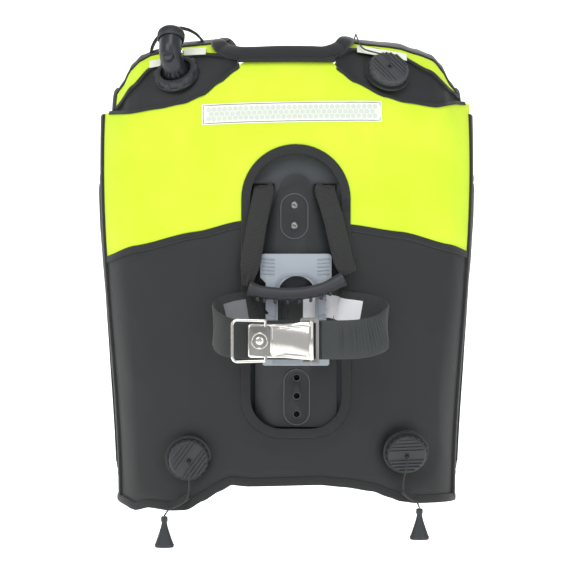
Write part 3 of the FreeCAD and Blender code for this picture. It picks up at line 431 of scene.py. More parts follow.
# a lighter copy of the plate plastic: painted light on the upper part of the plate, which tilts up to face
# the light
archPaintedLightPlastic = mouldedPlastic("archPaintedLightPlastic", tint(66, 69, 75), tint(58, 61, 66), roughness=0.5, grain=0.2)
capPlastic = mouldedPlastic("capPlastic", tint(47, 51, 54), tint(40, 43, 46), roughness=0.48, grain=0.3)
elbowPlastic = mouldedPlastic("elbowPlastic", tint(30, 33, 41), tint(38, 41, 47), roughness=0.3, grain=0.15)
bucklePlastic = mouldedPlastic("bucklePlastic", tint(30, 31, 33), tint(38, 40, 42), roughness=0.4)
greyRubber = mouldedPlastic("greyRubber", tint(165, 173, 182), tint(150, 158, 167), roughness=0.55,
                            grain=0.35)
gripRubber = mouldedPlastic("gripRubber", tint(148, 156, 166), tint(132, 140, 149), roughness=0.55,
                            grain=0.35)
handleRubber = mouldedPlastic("handleRubber", tint(44, 45, 50), tint(56, 57, 62), roughness=0.46, grain=0.35)
shoulderPlastic = mouldedPlastic("shoulderPlastic", tint(56, 58, 62), tint(66, 68, 71), roughness=0.5,
                                 grain=0.3)
# a lighter plastic for the rims and eyelet rings: painted highlight on the plate's edges
rimHighlightPlastic = mouldedPlastic("rimHighlightPlastic", tint(78, 82, 87), tint(60, 64, 68), roughness=0.45, grain=0.2)
leverGrey = polishedMetal("leverGrey", (0.27, 0.265, 0.25, 1), 0.3, 0.05)
ribbedSleeve = mouldedPlastic("ribbedSleeve", tint(38, 41, 42), tint(56, 60, 61), roughness=0.55, grain=0.3)
bladderFilm = mouldedPlastic("bladderFilm", tint(60, 62, 66), tint(48, 50, 54), roughness=0.5, grain=0.2)
polishedSteel = polishedMetal("polishedSteel", (0.82, 0.80, 0.76, 1), 0.12)
satinSteel = polishedMetal("satinSteel", (0.30, 0.30, 0.30, 1), 0.38, 0.1)
whiteLabel = plainSheet("whiteLabel", tint(228, 229, 233), 0.6)
greyLabel = plainSheet("greyLabel", tint(120, 122, 126), 0.6)
reflectiveWhite = plainSheet("reflectiveWhite", tint(240, 242, 238), 0.35)
reflectiveGrey = plainSheet("reflectiveGrey", tint(236, 243, 226), 0.3)
reflectiveCell = plainSheet("reflectiveCell", tint(203, 212, 203), 0.3)
stitchThread = plainSheet("stitchThread", tint(58, 60, 62), 0.7)
# near black, laid in slots and holes: painted shade inside them
paintedHoleShade = plainSheet("paintedHoleShade", tint(9, 9, 10), 0.9)
cordBraid = tapeWebbing("cordBraid", tint(22, 23, 25), tint(60, 62, 64), rib=0.0012, depth=0.5)
print("finishes made")


# camera, light and floor

def setStage():
    view = {"distance": 3.0, "aimX": -0.006, "aimZ": 0.029, "seenWidth": 0.7535}
    camera = bpy.data.objects.new("camera", bpy.data.cameras.new("camera"))
    bpy.context.scene.collection.objects.link(camera)
    camera.data.lens = 36 * view["distance"] / view["seenWidth"]
    camera.location = (view["aimX"], -view["distance"], view["aimZ"])
    camera.rotation_euler = (math.radians(90), 0, 0)
    bpy.context.scene.camera = camera
    bpy.context.scene.view_settings.view_transform = "Standard"
    lamps = [((-1.3, -2.2, 1.7), 1.5, 24), ((1.5, -2.0, 0.9), 1.8, 11), ((0.0, -1.4, 2.2), 1.0, 13),
             ((0.3, 2.0, 1.8), 1.6, 14), ((-2.2, 0.6, 0.6), 1.4, 6)]
    for index, (place, size, power) in enumerate(lamps):
        data = bpy.data.lights.new("lamp%d" % index, "AREA")
        data.size, data.energy = size, power
        lamp = bpy.data.objects.new("lamp%d" % index, data)
        bpy.context.scene.collection.objects.link(lamp)
        lamp.location = place
        lamp.rotation_euler = (Vector((0, 0.05, 0.03)) - lamp.location).to_track_quat("-Z", "Y").to_euler()
    world = bpy.data.worlds.new("studio")
    bpy.context.scene.world = world
    world.use_nodes = True
    background = world.node_tree.nodes["Background"]
    background.inputs["Color"].default_value = (1, 1, 1, 1)
    background.inputs["Strength"].default_value = 0.55
    profile = [(-4.5, -0.46), (2.2, -0.46), (2.75, -0.38), (3.05, -0.15), (3.15, 0.2), (3.15, 4.0)]
    bpy.ops.mesh.primitive_plane_add(size=9, location=(0, 0, 0))
    sweep = bpy.context.object
    line = smoothLine([Vector((0, y, z)) for y, z in profile], 6)
    vertices = [(x, p.y, p.z) for p in line for x in (-4.5, 4.5)]
    bpy.data.objects.remove(sweep)
    sweep = meshPiece("studioFloor", vertices,
                      [(2 * i, 2 * i + 1, 2 * i + 3, 2 * i + 2) for i in range(len(line) - 1)])
    activate(sweep)
    bpy.ops.object.shade_smooth()
    pale = Finish("paleFloor")
    pale.surface(Base_Color=(0.93, 0.93, 0.93, 1), Roughness=0.9, Emission_Color=(1, 1, 1, 1),
                 Emission_Strength=0.6)
    sweep.data.materials.append(pale.material)
    print("stage set")


# the vest's form, shared by all its cloth

form = {"x": -0.007, "y": 0.105, "backDepth": 0.113, "frontDepth": 0.100, "hip": 0.227, "chest": 0.252,
        "power": 2.6, "vaultRise": 0.110, "vaultPower": 2.2}
window = {"x": 0.005, "half": 0.061, "top": 0.206, "bottom": -0.157, "corner": 0.042}


def easeStep(amount):
    amount = min(max(amount, 0.0), 1.0)
    return amount * amount * (3 - 2 * amount)


def heightLine(points):
    # a smooth height over x, in millimetres, level past its ends
    def height(x):
        x *= 1000
        if x <= points[0][0]:
            return points[0][1] / 1000
        for (x0, z0), (x1, z1) in zip(points, points[1:]):
            if x <= x1:
                share = (x - x0) / (x1 - x0)
                return (z0 + (z1 - z0) * (0.5 * share + 0.5 * easeStep(share))) / 1000
        return points[-1][1] / 1000
    return height


shoulderTop = heightLine([(0, 385), (60, 378), (92, 364), (130, 359), (150, 357), (172, 350), (195, 342),
                          (208, 330), (220, 308), (232, 294), (252, 279)])
hemLine = heightLine([(-245, -250), (-222, -258), (-208, -264), (-190, -259), (-160, -262), (-140, -261),
                      (-119, -249), (-97, -236), (-80, -227), (-58, -229), (37, -227), (69, -230),
                      (107, -236), (128, -244), (144, -250), (165, -253), (212, -254)])
seamLine = heightLine([(-250, 70), (-208, 84), (-126, 102), (-66, 116), (70, 112), (143, 102),
                       (208, 86), (240, 76)])
neonTop = heightLine([(-250, 263), (-215, 261), (-176, 266), (-143, 272), (-118, 282), (-96, 299),
                      (-75, 315), (-64, 325), (-15, 328), (50, 328), (63, 314), (82, 300), (122, 281),
                      (148, 274), (190, 269), (221, 276), (250, 277)])
wingEdge = heightLine([(-250, 262), (-234, 268), (-211, 295), (-186, 320), (-166, 329), (-120, 337),
                       (-80, 334), (-64, 330), (52, 330), (76, 343), (109, 345), (141, 336),
                       (181, 316), (213, 291), (230, 274), (250, 266)])


def halfWidth(z):
    return form["hip"] + (form["chest"] - form["hip"]) * easeStep((z + 0.260) / 0.450)


def backPoint(x, z, lift=0.0):
    across = min(abs(x - form["x"]) / (halfWidth(z) + lift), 0.998)
    depth = (form["backDepth"] + lift) * (1 - across ** form["power"]) ** (1 / form["power"])
    near = 1 - (shoulderTop(abs(x - form["x"])) + lift - z) / form["vaultRise"]
    near = min(max(near, 0.0), 0.999)
    depth *= (1 - near ** form["vaultPower"]) ** (1 / form["vaultPower"])
    return Vector((x, form["y"] - depth, z))


def backNormal(x, z):
    step = 0.002
    run = backPoint(x + step, z) - backPoint(x - step, z)
    rise = backPoint(x, z + step) - backPoint(x, z - step)
    return run.cross(rise).normalized()


def ringPoint(angle, z, lift, side):
    power = 2 / form["power"]
    turn = math.radians(angle)
    depth = form["frontDepth"] if angle > 0 else form["backDepth"]
    x = form["x"] + side * (halfWidth(z) + lift) * abs(math.cos(turn)) ** power
    y = form["y"] + math.copysign((depth + lift) * abs(math.sin(turn)) ** power, angle)
    return Vector((x, y, z))


def ringNormal(angle, z, side):
    out = ringPoint(angle + 1, z, 0, side) - ringPoint(angle - 1, z, 0, side)
    return out.cross(Vector((0, 0, 1))).normalized() * side


def archPoint(x, start, end, share, lift=0.0):
    rise, vault = form["vaultRise"], form["vaultPower"]
    top = shoulderTop(abs(x - form["x"]))
    angleOf = lambda z: math.acos(min(max(1 - (top - z) / rise, 0.0), 1.0) ** (vault / 2))
    angle = -angleOf(start) + (angleOf(start) + angleOf(end)) * share
    across = min(abs(x - form["x"]) / (form["chest"] + lift), 0.998)
    depth = form["backDepth"] if angle < 0 else form["frontDepth"]
    depth = (depth + lift) * (1 - across ** form["power"]) ** (1 / form["power"])
    y = form["y"] + math.copysign(depth * abs(math.sin(angle)) ** (2 / vault), angle)
    return Vector((x, y, top + lift - rise * (1 - abs(math.cos(angle)) ** (2 / vault))))


def wingPoint(side, across, along, lift=0.0):
    # across 0 is the neck edge, 1 the armhole; along 0 is the back gusset, 1 the chest
    neck = 0.066 + 0.022 * easeStep(along / 0.3) * easeStep((0.8 - along) / 0.35)
    x = form["x"] + side * (neck + (0.228 - neck) * across)
    front = 0.215 + 0.055 * easeStep((across - 0.45) / 0.55)
    return archPoint(x, max(wingEdge(x) + 0.001, 0.255), front, along, lift)


def wingNormal(side, across, along):
    step = 0.01
    run = wingPoint(side, across + step, along) - wingPoint(side, across - step, along)
    rise = wingPoint(side, across, along + step) - wingPoint(side, across, along - step)
    return run.cross(rise).normalized() * side


def creases(x, z, seed=0.0):
    # soft hanging folds with small crumples between them, in metres
    broad = noise.noise(Vector((x * 8.5, z * 3.0, seed)))
    ridge = 1 - abs(noise.noise(Vector((x * 13 + z * 3.5, z * 5.0, seed + 4)))) * 2
    fine = noise.noise(Vector((x * 34, z * 20, seed + 9)))
    return 0.0042 * broad + 0.0028 * ridge + 0.0009 * fine


def fade(distance, reach):
    return easeStep(distance / reach)


def clothPatch(name, point, columns, rows):
    # a sheet laid out on the vest's form: point(across, up) gives each place
    bpy.ops.mesh.primitive_grid_add(x_subdivisions=columns, y_subdivisions=rows, size=1)
    piece = bpy.context.object
    for vertex in piece.data.vertices:
        vertex.co = point(vertex.co.x + 0.5, vertex.co.y + 0.5)
    piece.name = name
    return piece


def faceAway(piece, inside):
    # turns the sheet so that its faces look away from a place inside the vest
    score = sum((f.center - Vector(inside)).dot(f.normal) * f.area for f in piece.data.polygons)
    if score < 0:
        inEditMode(piece, bpy.ops.mesh.flip_normals)
    return piece


def windowDistance(x, z):
    # how far a place is outside the window's outline
    dx = abs(x - window["x"])
    if z > window["top"] - window["half"]:
        return math.hypot(dx, z - (window["top"] - window["half"])) - window["half"]
    low = window["bottom"] + window["corner"]
    if z < low and dx > window["half"] - window["corner"]:
        return math.hypot(dx - (window["half"] - window["corner"]), z - low) - window["corner"]
    return max(dx - window["half"], window["bottom"] - z)


def windowOutline(grow, steps=28):
    half, top, bottom = window["half"] + grow, window["top"] + grow, window["bottom"] - grow
    x, corner = window["x"], window["corner"] + grow
    points = []
    for index in range(steps + 1):
        turn = math.pi * index / steps
        points.append((x + half * math.cos(turn), top - half + half * math.sin(turn)))
    for step in range(1, 14):
        points.append((x - half, top - half + (bottom + corner - top + half) * step / 14))
    for index in range(11):
        turn = math.pi * (1 + index / 20)
        points.append((x - half + corner + corner * math.cos(turn),
                       bottom + corner + corner * math.sin(turn)))
    for step in range(1, 4):
        points.append((x - half + corner + (2 * half - 2 * corner) * step / 4, bottom))
    for index in range(11):
        turn = math.pi * (1.5 + index / 20)
        points.append((x + half - corner + corner * math.cos(turn),
                       bottom + corner + corner * math.sin(turn)))
    for step in range(1, 14):
        points.append((x + half, bottom + corner + (top - half - bottom - corner) * step / 14))
    return points


capPlaces = [sum(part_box(side + "_dump_cap"), Vector()) / 2 for side in ("left", "right", "shoulder")]


def clothLift(x, z):
    # how far the filled vest stands out of its plain form here
    lift = creases(x, z, 2.0 if z > seamLine(x) else 7.0)
    lift += 0.004 * math.sin(math.pi * min(max((z + 0.25) / 0.33, 0), 1))
    calm = fade(windowDistance(x, z), 0.035) * fade(abs(z - seamLine(x)), 0.022)
    calm *= fade(z - hemLine(x), 0.02) * fade(neonTop(x) - z, 0.03)
    calm *= fade(0.985 * halfWidth(z) - abs(x - form["x"]), 0.03)
    for centre in capPlaces:
        calm *= fade(math.hypot(x - centre.x, z - centre.z) - 0.02, 0.03)
    if z > seamLine(x):
        calm *= 0.75
    return lift * calm


def backPanels():
    edgeTurn = 76.0

    def panel(low, high):
        def point(across, up):
            turn = math.radians((2 * across - 1) * edgeTurn)
            share = math.copysign(abs(math.sin(turn)) ** (2 / form["power"]), turn)
            x = form["x"] + share * halfWidth(0)
            for _ in range(3):
                z = low(x) + (high(x) - low(x)) * up
                x = form["x"] + share * halfWidth(z)
            return backPoint(x, z, clothLift(x, z))
        return point

    lower = clothPatch("backPanelLower", panel(hemLine, seamLine), 150, 100)
    upper = clothPatch("backPanelUpper", panel(seamLine, neonTop), 170, 70)
    for piece, replaced, cloth in ((lower, "back_shell_lower", blackCloth),
                                   (upper, "back_shell_upper", neonCloth)):
        faceAway(piece, (form["x"], form["y"], 0))
        applyModifier(piece, "SOLIDIFY", thickness=0.0032, offset=-1, use_even_offset=True)
        cutter = plateFrom("windowCutter", windowOutline(0), 0.06, -0.06, bevel=0)
        applyModifier(piece, "BOOLEAN", operation="DIFFERENCE", object=cutter, solver="EXACT")
        bpy.data.objects.remove(cutter)
        finishPiece(piece, piece.name, cloth)
        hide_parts(replaced)
    print("back panels sewn")


def surfaceTrack(points, lift=0.0012):
    return [(backPoint(x, z, clothLift(x, z)) + backNormal(x, z) * lift, backNormal(x, z)) for x, z in points]


def backEdgeX(side, z):
    share = math.sin(math.radians(76)) ** (2 / form["power"])
    return form["x"] + side * share * halfWidth(z)


def bindings():
    outline = windowOutline(0.0045)
    edge = tape("windowBinding", surfaceTrack(outline), 0.012, 0.0042, closed=True)
    finishPiece(edge, "windowBinding", bindingTape, smooth=50)
    # the band below the neon, in two runs either side of the window
    for name, start, end in (("left", -0.248, -0.060), ("right", 0.070, 0.236)):
        xs = [start + (end - start) * i / 40 for i in range(41)]
        track = surfaceTrack([(x, seamLine(x) - 0.0045) for x in xs], 0.0006)
        finishPiece(tape("seamBinding_" + name, track, 0.0095, 0.0022), "seamBinding_" + name, bindingTape)
        stitch = surfaceTrack([(x, seamLine(x) - 0.0082) for x in xs], 0.0016)
        finishPiece(tape("seamStitch_" + name, stitch, 0.0008, 0.0008), "seamStitch_" + name, stitchThread)
    # side edges, from the hem up to the armhole
    for name, side in (("left", -1), ("right", 1)):
        zs = [-0.25 + 0.51 * i / 60 for i in range(61)]
        track = []
        for z in zs:
            x = backEdgeX(side, z)
            track.append((backPoint(x, z) + Vector((side * 0.0005, 0.001, 0)),
                          (backNormal(x, z) + Vector((side * 0.6, 0, 0))).normalized()))
        finishPiece(tape("sideBinding_" + name, track, 0.012, 0.006), "sideBinding_" + name, bindingTape)
    # hem tape along the bottom
    xs = [-0.232 + 0.449 * i / 90 for i in range(91)]
    track = [(backPoint(x, hemLine(x)) + Vector((0, -0.0002, 0.003)), backNormal(x, hemLine(x))) for x in xs]
    finishPiece(tape("hemBinding", track, 0.011, 0.006), "hemBinding", bindingTape)
    print("bindings sewn")


def gussets():
    pieces = []
    for inner, outer in ((-0.072, -0.230), (0.058, 0.222)):
        def point(across, up):
            x = inner + (outer - inner) * across
            low, high = neonTop(x) - 0.002, wingEdge(x) + 0.001
            z = low + max(high - low, 0.003) * up
            lift = 0.5 * creases(x, z, 11.0) * math.sin(math.pi * up) - 0.002 * math.sin(math.pi * up)
            return backPoint(x, z, lift + 0.0006)
        piece = clothPatch("gusset", point, 60, 22)
        faceAway(piece, (form["x"], form["y"], 0.2))
        applyModifier(piece, "SOLIDIFY", thickness=0.003, offset=-1)
        pieces.append(piece)
    finishPiece(joinPieces(pieces), "shoulderGussets", blackCloth)
    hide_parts("shoulder_gussets")
    for name, inner, outer in (("left", -0.070, -0.244), ("right", 0.060, 0.232)):
        xs = [inner + (outer - inner) * i / 50 for i in range(51)]
        low = [(backPoint(x, neonTop(x), 0.001), backNormal(x, neonTop(x))) for x in xs]
        finishPiece(tape("gussetPiping_" + name, low, 0.005, 0.003), "gussetPiping_" + name, bindingTape)
        high = [(backPoint(x, wingEdge(x), 0.0015), backNormal(x, wingEdge(x))) for x in xs[:-3]]
        finishPiece(tape("wingPiping_" + name, high, 0.006, 0.004), "wingPiping_" + name, bindingTape)
    print("gussets sewn")


def wingBorder(side, across):
    # where, along the wing, the bright cloth gives way to the black yoke over the shoulder
    x = wingPoint(side, across, 0.25).x
    for step in range(60):
        if wingPoint(side, across, step / 100).z > shoulderTop(abs(x - form["x"])) - 0.0095:
            return max(step / 100, 0.04)
    return 0.6


def shoulderWings():
    for label, side in (("left", -1), ("right", 1)):
        def lifted(across, along):
            puff = 0.003 * math.sin(math.pi * across) ** 0.5 * math.sin(math.pi * along) ** 0.5
            wrinkle = 0.0018 * noise.noise(Vector((across * 4, along * 9, 3 + side)))
            return wingPoint(side, across, along, puff + wrinkle * math.sin(math.pi * along))

        borders = [wingBorder(side, i / 60) for i in range(61)]
        borders = [sum(borders[max(i - 4, 0):i + 5]) / len(borders[max(i - 4, 0):i + 5]) for i in range(61)]

        def border(across):
            return borders[int(round(across * 60))]
        bright = clothPatch("bright", lambda a, t: lifted(a, border(a) * t), 60, 40)
        yoke = clothPatch("yoke", lambda a, t: lifted(a, border(a) + (1 - border(a)) * t), 60, 70)
        for piece, name, cloth in ((bright, "shoulderWing_", neonCloth), (yoke, "shoulderYoke_", blackCloth)):
            faceAway(piece, (form["x"] + side * 0.147, form["y"], 0.25))
            applyModifier(piece, "SOLIDIFY", thickness=0.008, offset=-1)
            finishPiece(piece, name + label, cloth)
        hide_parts("shoulder_wing_" + label)
        seam = [(lifted(i / 60, border(i / 60)),
                 wingNormal(side, min(max(i / 60, 0.02), 0.98), border(i / 60)))
                for i in range(61)]
        finishPiece(tape("yokePiping_" + label, seam, 0.005, 0.004), "yokePiping_" + label, bindingTape)
        rim = [(1.0, i / 40) for i in range(41)]
        rim += [(1 - i / 20, 1.0) for i in range(1, 21)]
        rim += [(0.0, 1 - i / 40) for i in range(1, 41)]
        track = [(wingPoint(side, a, b, -0.004),
                  wingNormal(side, min(max(a, 0.02), 0.98), min(max(b, 0.02), 0.98)))
                 for a, b in rim]
        finishPiece(tape("wingBinding_" + label, track, 0.010, 0.010), "wingBinding_" + label, bindingTape)
    print("shoulder wings sewn")


def collarRoll():
    # soft neoprene roll along the neckline, running out over both shoulders
    points = [wingPoint(-1, 0.0, t, 0.002) for t in (0.62, 0.50)]
    points += [backPoint(x, z, 0.003) for x, z in
               ((-0.098, 0.353), (-0.0875, 0.342), (-0.069, 0.3365), (-0.050, 0.336), (-0.015, 0.337),
                (0.022, 0.337), (0.043, 0.337), (0.061, 0.344), (0.072, 0.356))]
    points += [wingPoint(1, 0.0, t, 0.002) for t in (0.50, 0.62)]
    line = smoothLine(points, 8)
    track = [(p, Vector((0, -0.8, 0.6)).normalized()) for p in line]
    roll = tape("collarRoll", track, 0.020, 0.013)
    applyModifier(roll, "SUBSURF", levels=2, render_levels=2)
    finishPiece(roll, "collarRoll", neoprene, smooth=60)
    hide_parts("collar_pad")
    xs = [-0.070 + 0.126 * i / 40 for i in range(41)]
    low = [(backPoint(x, 0.3285, 0.004), backNormal(x, 0.325)) for x in xs]
    finishPiece(tape("collarBinding", low, 0.009, 0.004, ribs=0.0005, pitch=0.004), "collarBinding",
                bindingTape)
    print("collar rolled")

# hard parts taken from the frame, softened at their edges

def softened(node, name, material, bevel=0.0007, smooth=35):
    # a merged, bevelled copy of a frame part, standing for it
    source = frame["nodes"][node]
    piece = bpy.data.objects.new(name, source.data.copy())
    bpy.context.scene.collection.objects.link(piece)
    inEditMode(piece, lambda: bpy.ops.mesh.remove_doubles(threshold=0.00002),
               lambda: bpy.ops.mesh.dissolve_limited(angle_limit=math.radians(1.5)))
    if bevel:
        applyModifier(piece, "BEVEL", width=bevel, segments=2, limit_method="ANGLE",
                      angle_limit=math.radians(38), harden_normals=False)
    finishPiece(piece, name, material, source["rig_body"], smooth)
    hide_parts(node)
    return piece


def roundedBar(centre, size, bevel=0.0008, turn=0.0, about="Y"):
    # a small bevelled bar; turn is in degrees
    bpy.ops.mesh.primitive_cube_add(size=1, location=centre)
    bar = bpy.context.object
    bar.scale = size
    if turn:
        axis = {"X": (1, 0, 0), "Y": (0, 1, 0), "Z": (0, 0, 1)}[about]
        bar.rotation_mode = "QUATERNION"
        bar.rotation_quaternion = Quaternion(axis, math.radians(turn))
    activate(bar)
    bpy.ops.object.transform_apply(location=True, rotation=True, scale=True)
    return applyModifier(bar, "BEVEL", width=bevel, segments=2)


def domedStud(centre, radius, height, normal=(0, -1, 0)):
    profile = [(0, height), (radius * 0.45, height * 0.94), (radius * 0.8, height * 0.66),
               (radius, height * 0.12), (radius, -0.001), (0, -0.001)]
    return turnTo(lathe("stud", profile, 32), centre, normal)


def backplate():
    plate = {"rimWidth": 0.0011, "rimProud": 0.0007}
    body = softened("backplate", "backplatePlate", platePlastic, bevel=0.0009)
    # the upper faces of the plate take the lighter copy: painted light where the plate tilts upward
    body.data.materials.append(archPaintedLightPlastic)
    for face in body.data.polygons:
        if face.center.y > 0.0040 and face.center.z > 0.125:
            face.material_index = 1
    # thin raised rims round both recesses, in a lighter plastic: a painted highlight on the recess edges
    rimHighlights = []
    for x, low, high, half in ((0.003, 0.093, 0.152, 0.017), (0.006, -0.151, -0.078, 0.016)):
        outline = stadiumOutline(x, low, high, half + 0.0008, 16)
        track = [(Vector((px, -0.0002, pz)), Vector((0, -1, 0))) for px, pz in outline]
        rimHighlights.append(tape("rim", track, plate["rimWidth"] * 1.6, plate["rimProud"] * 2, closed=True))
    finishPiece(joinPieces(rimHighlights), "recessRimHighlights", rimHighlightPlastic)
    # painted shade: dark bars in the two webbing slots, where the slots fall into shadow
    slotLipShades = []
    for side in (-1, 1):
        slotLipShades.append(roundedBar((0.003 + side * 0.0405, 0.0038, 0.161), (0.029, 0.0012, 0.0085), 0.0004))
    finishPiece(joinPieces(slotLipShades), "slotLipShade", paintedHoleShade)
    low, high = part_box("plate_screws")
    heads, screwSlotShades = [], []
    for z in (0.137, 0.110):
        heads.append(domedStud((0.003, low.y + 0.0022, z), 0.0052, 0.0024))
        # a dark bar across each head: painted shade in its slot
        screwSlotShades.append(roundedBar((0.003, low.y - 0.0002, z), (0.0058, 0.0006, 0.001), 0.0002, 35))
    finishPiece(joinPieces(heads), "screwHeads", satinSteel)
    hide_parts("plate_screws")
    finishPiece(joinPieces(screwSlotShades), "screwSlotShade", paintedHoleShade)
    # eyelet rings round the three holes, in the same lighter plastic: a painted highlight on their edges
    rings = []
    for z in (-0.089, -0.113, -0.137):
        bpy.ops.mesh.primitive_torus_add(location=(0.006, 0.0016, z), rotation=(math.pi / 2, 0, 0),
                                         major_radius=0.0047, minor_radius=0.0007, major_segments=32,
                                         minor_segments=8)
        rings.append(bpy.context.object)
    finishPiece(joinPieces(rings), "holeRings", rimHighlightPlastic)
    print("backplate set")


def gripPad():
    pad = {"face": -0.0111, "ribProud": 0.0009, "ribs": 5}
    softened("grip_pad", "gripPad", greyRubber, bevel=0.0014)
    face = pad["face"] - 0.0001
    bars = []
    for side in (-1, 1):
        x = 0.005 + side * 0.034
        for index in range(pad["ribs"]):
            z = 0.066 - 0.0048 * index
            bars.append(roundedBar((x + side * 0.002, face, z), (0.017, pad["ribProud"] * 2, 0.0021), 0.0005,
                                   -side * 4))
            bars.append(roundedBar((0.005 + side * 0.0335, face, -0.008 - 0.0048 * index),
                                   (0.013, pad["ribProud"] * 2, 0.0019), 0.0005, -side * 12))
        for index in range(4):
            bars.append(roundedBar((0.005 + side * 0.0335, face, 0.028 - 0.0048 * index),
                                   (0.013, pad["ribProud"] * 2, 0.0019), 0.0005, side * 12))
    finishPiece(joinPieces(bars), "gripPadRibs", gripRubber)
    # raised rim round the window
    half, top, bottom = 0.0262, 0.0455, -0.0622
    outline = roundedOutline([(0.006 - half, bottom), (0.006 + half, bottom), (0.006 + half, top),
                              (0.006 - half, top)], [0.007, 0.007, 0.02, 0.02], 8)
    track = [(Vector((x, face, z)), Vector((0, -1, 0))) for x, z in outline]
    finishPiece(tape("gripPadRim", track, 0.0034, 0.0034, closed=True), "gripPadRim", gripRubber)
    label = plateFrom("padLabel", roundedOutline([(-0.026, -0.0715), (0.036, -0.0715), (0.036, -0.0642),
                                                  (-0.026, -0.0642)], 0.002), face, face - 0.0007, 0.0003)
    finishPiece(label, "padLabel", gripRubber)
    print("grip pad moulded")


# tank band and cam buckle

bandLoop = [(-14, -1), (-36, -1), (-48, -4), (-58, -10.5), (-78, -18), (-97, -32), (-101, -52), (-88, -73),
            (-62, -81.5), (-20, -82.4), (40, -82.4), (84, -80.5), (112, -68), (123, -48), (115, -29),
            (92, -17), (68, -10.5), (58, -4), (46, -1), (24, -1)]
band = {"width": 0.050, "thick": 0.0030, "slope": 0.52, "middle": 0.005, "rib": 0.0028}


def bandTrack(perSpan, inset):
    line = smoothLine([Vector((x / 1000, y / 1000, 0)) for x, y in bandLoop], perSpan, closed=True)
    track = []
    for index, place in enumerate(line):
        tangent = (line[(index + 1) % len(line)] - line[index - 1]).normalized()
        inward = Vector((0, 0, 1)).cross(tangent).normalized()
        seat = place + inward * inset
        seat.z = band["middle"] + band["slope"] * place.y
        track.append((seat, -inward))
    return track


def tankBand():
    track = bandTrack(22, band["thick"] / 2)
    strap = tape("tankBand", track, band["width"], band["thick"] * 0.95, closed=True, ribs=0.0003,
                 pitch=band["rib"])
    finishPiece(strap, "tankBand", blackWebbing)
    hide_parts("tank_band")
    # coarse ribbed rubber sleeve on the right half of the front run
    def stretch(low, high, lift):
        return [(p + n * lift, n) for p, n in bandTrack(22, 0) if low <= p.x <= high and p.y < -0.045]
    sleeve = tape("bandSleeve", stretch(0.036, 0.119, 0.0003), band["width"] * 0.985, 0.0016, ribs=0.0011,
                  pitch=0.0046)
    finishPiece(sleeve, "bandSleeve", ribbedSleeve)
    # size tag and patch sewn on the inner face, above the buckle
    inner = [(p, -n) for p, n in bandTrack(22, band["thick"] + 0.0002) if p.y > -0.03]
    rightInner = [(p, n) for p, n in inner if 0.014 <= p.x <= 0.090]
    leftInner = [(p, n) for p, n in inner if -0.086 <= p.x <= -0.058]
    for name, run, width, material in (("bandTag", rightInner, 0.030, whiteLabel),
                                       ("bandPatch", leftInner, 0.030, greyLabel)):
        if len(run) > 2:
            finishPiece(tape(name, run, width, 0.0006), name, material)
    print("tank band sewn")


def camBuckle():
    softened("buckle_frame", "buckleFrame", satinSteel, 0.0006)
    softened("cam_lever", "camLever", polishedSteel, 0.0005)
    softened("buckle_bail", "buckleBail", polishedSteel, 0)
    pin = frame["nodes"]["cam_pin"]
    pin.data.materials.clear()
    pin.data.materials.append(polishedSteel)
    low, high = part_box("cam_lever")
    face, z = low.y, (low.z + high.z) / 2
    # darker square field with a plain ring and stud
    left = low.x + 0.0015
    field = plateFrom("leverField", roundedOutline([(left, z - 0.0185), (left + 0.026, z - 0.0185),
                                                    (left + 0.026, z + 0.0185), (left, z + 0.0185)], 0.002),
                      face + 0.0002, face - 0.0005, 0.0002)
    finishPiece(field, "leverField", leverGrey, "cam_lever")
    bpy.ops.mesh.primitive_torus_add(location=(left + 0.013, face - 0.0005, z), rotation=(math.pi / 2, 0, 0),
                                     major_radius=0.0098, minor_radius=0.0011, major_segments=48,
                                     minor_segments=10)
    ring = bpy.context.object
    stud = domedStud((left + 0.013, face - 0.0003, z), 0.0052, 0.0010)
    finishPiece(joinPieces([ring, stud]), "leverEmblem", polishedSteel, "cam_lever")
    # pressed ridges that flare towards the hinge, and a short cross ridge beside the field
    ridges = []
    for side in (-1, 1):
        ridges.append(roundedBar((high.x - 0.024, face - 0.0002, z + side * 0.0185), (0.040, 0.0018, 0.0030),
                                 0.0007, -side * 5))
        ridges.append(roundedBar((low.x + 0.043, face - 0.0001, z + side * 0.0195), (0.026, 0.0014, 0.0020),
                                 0.0005))
    ridges.append(roundedBar((left + 0.0285, face - 0.0001, z), (0.0018, 0.0014, 0.034), 0.0005))
    finishPiece(joinPieces(ridges), "leverRidges", polishedSteel, "cam_lever")
    print("cam buckle set")


# carrying handle

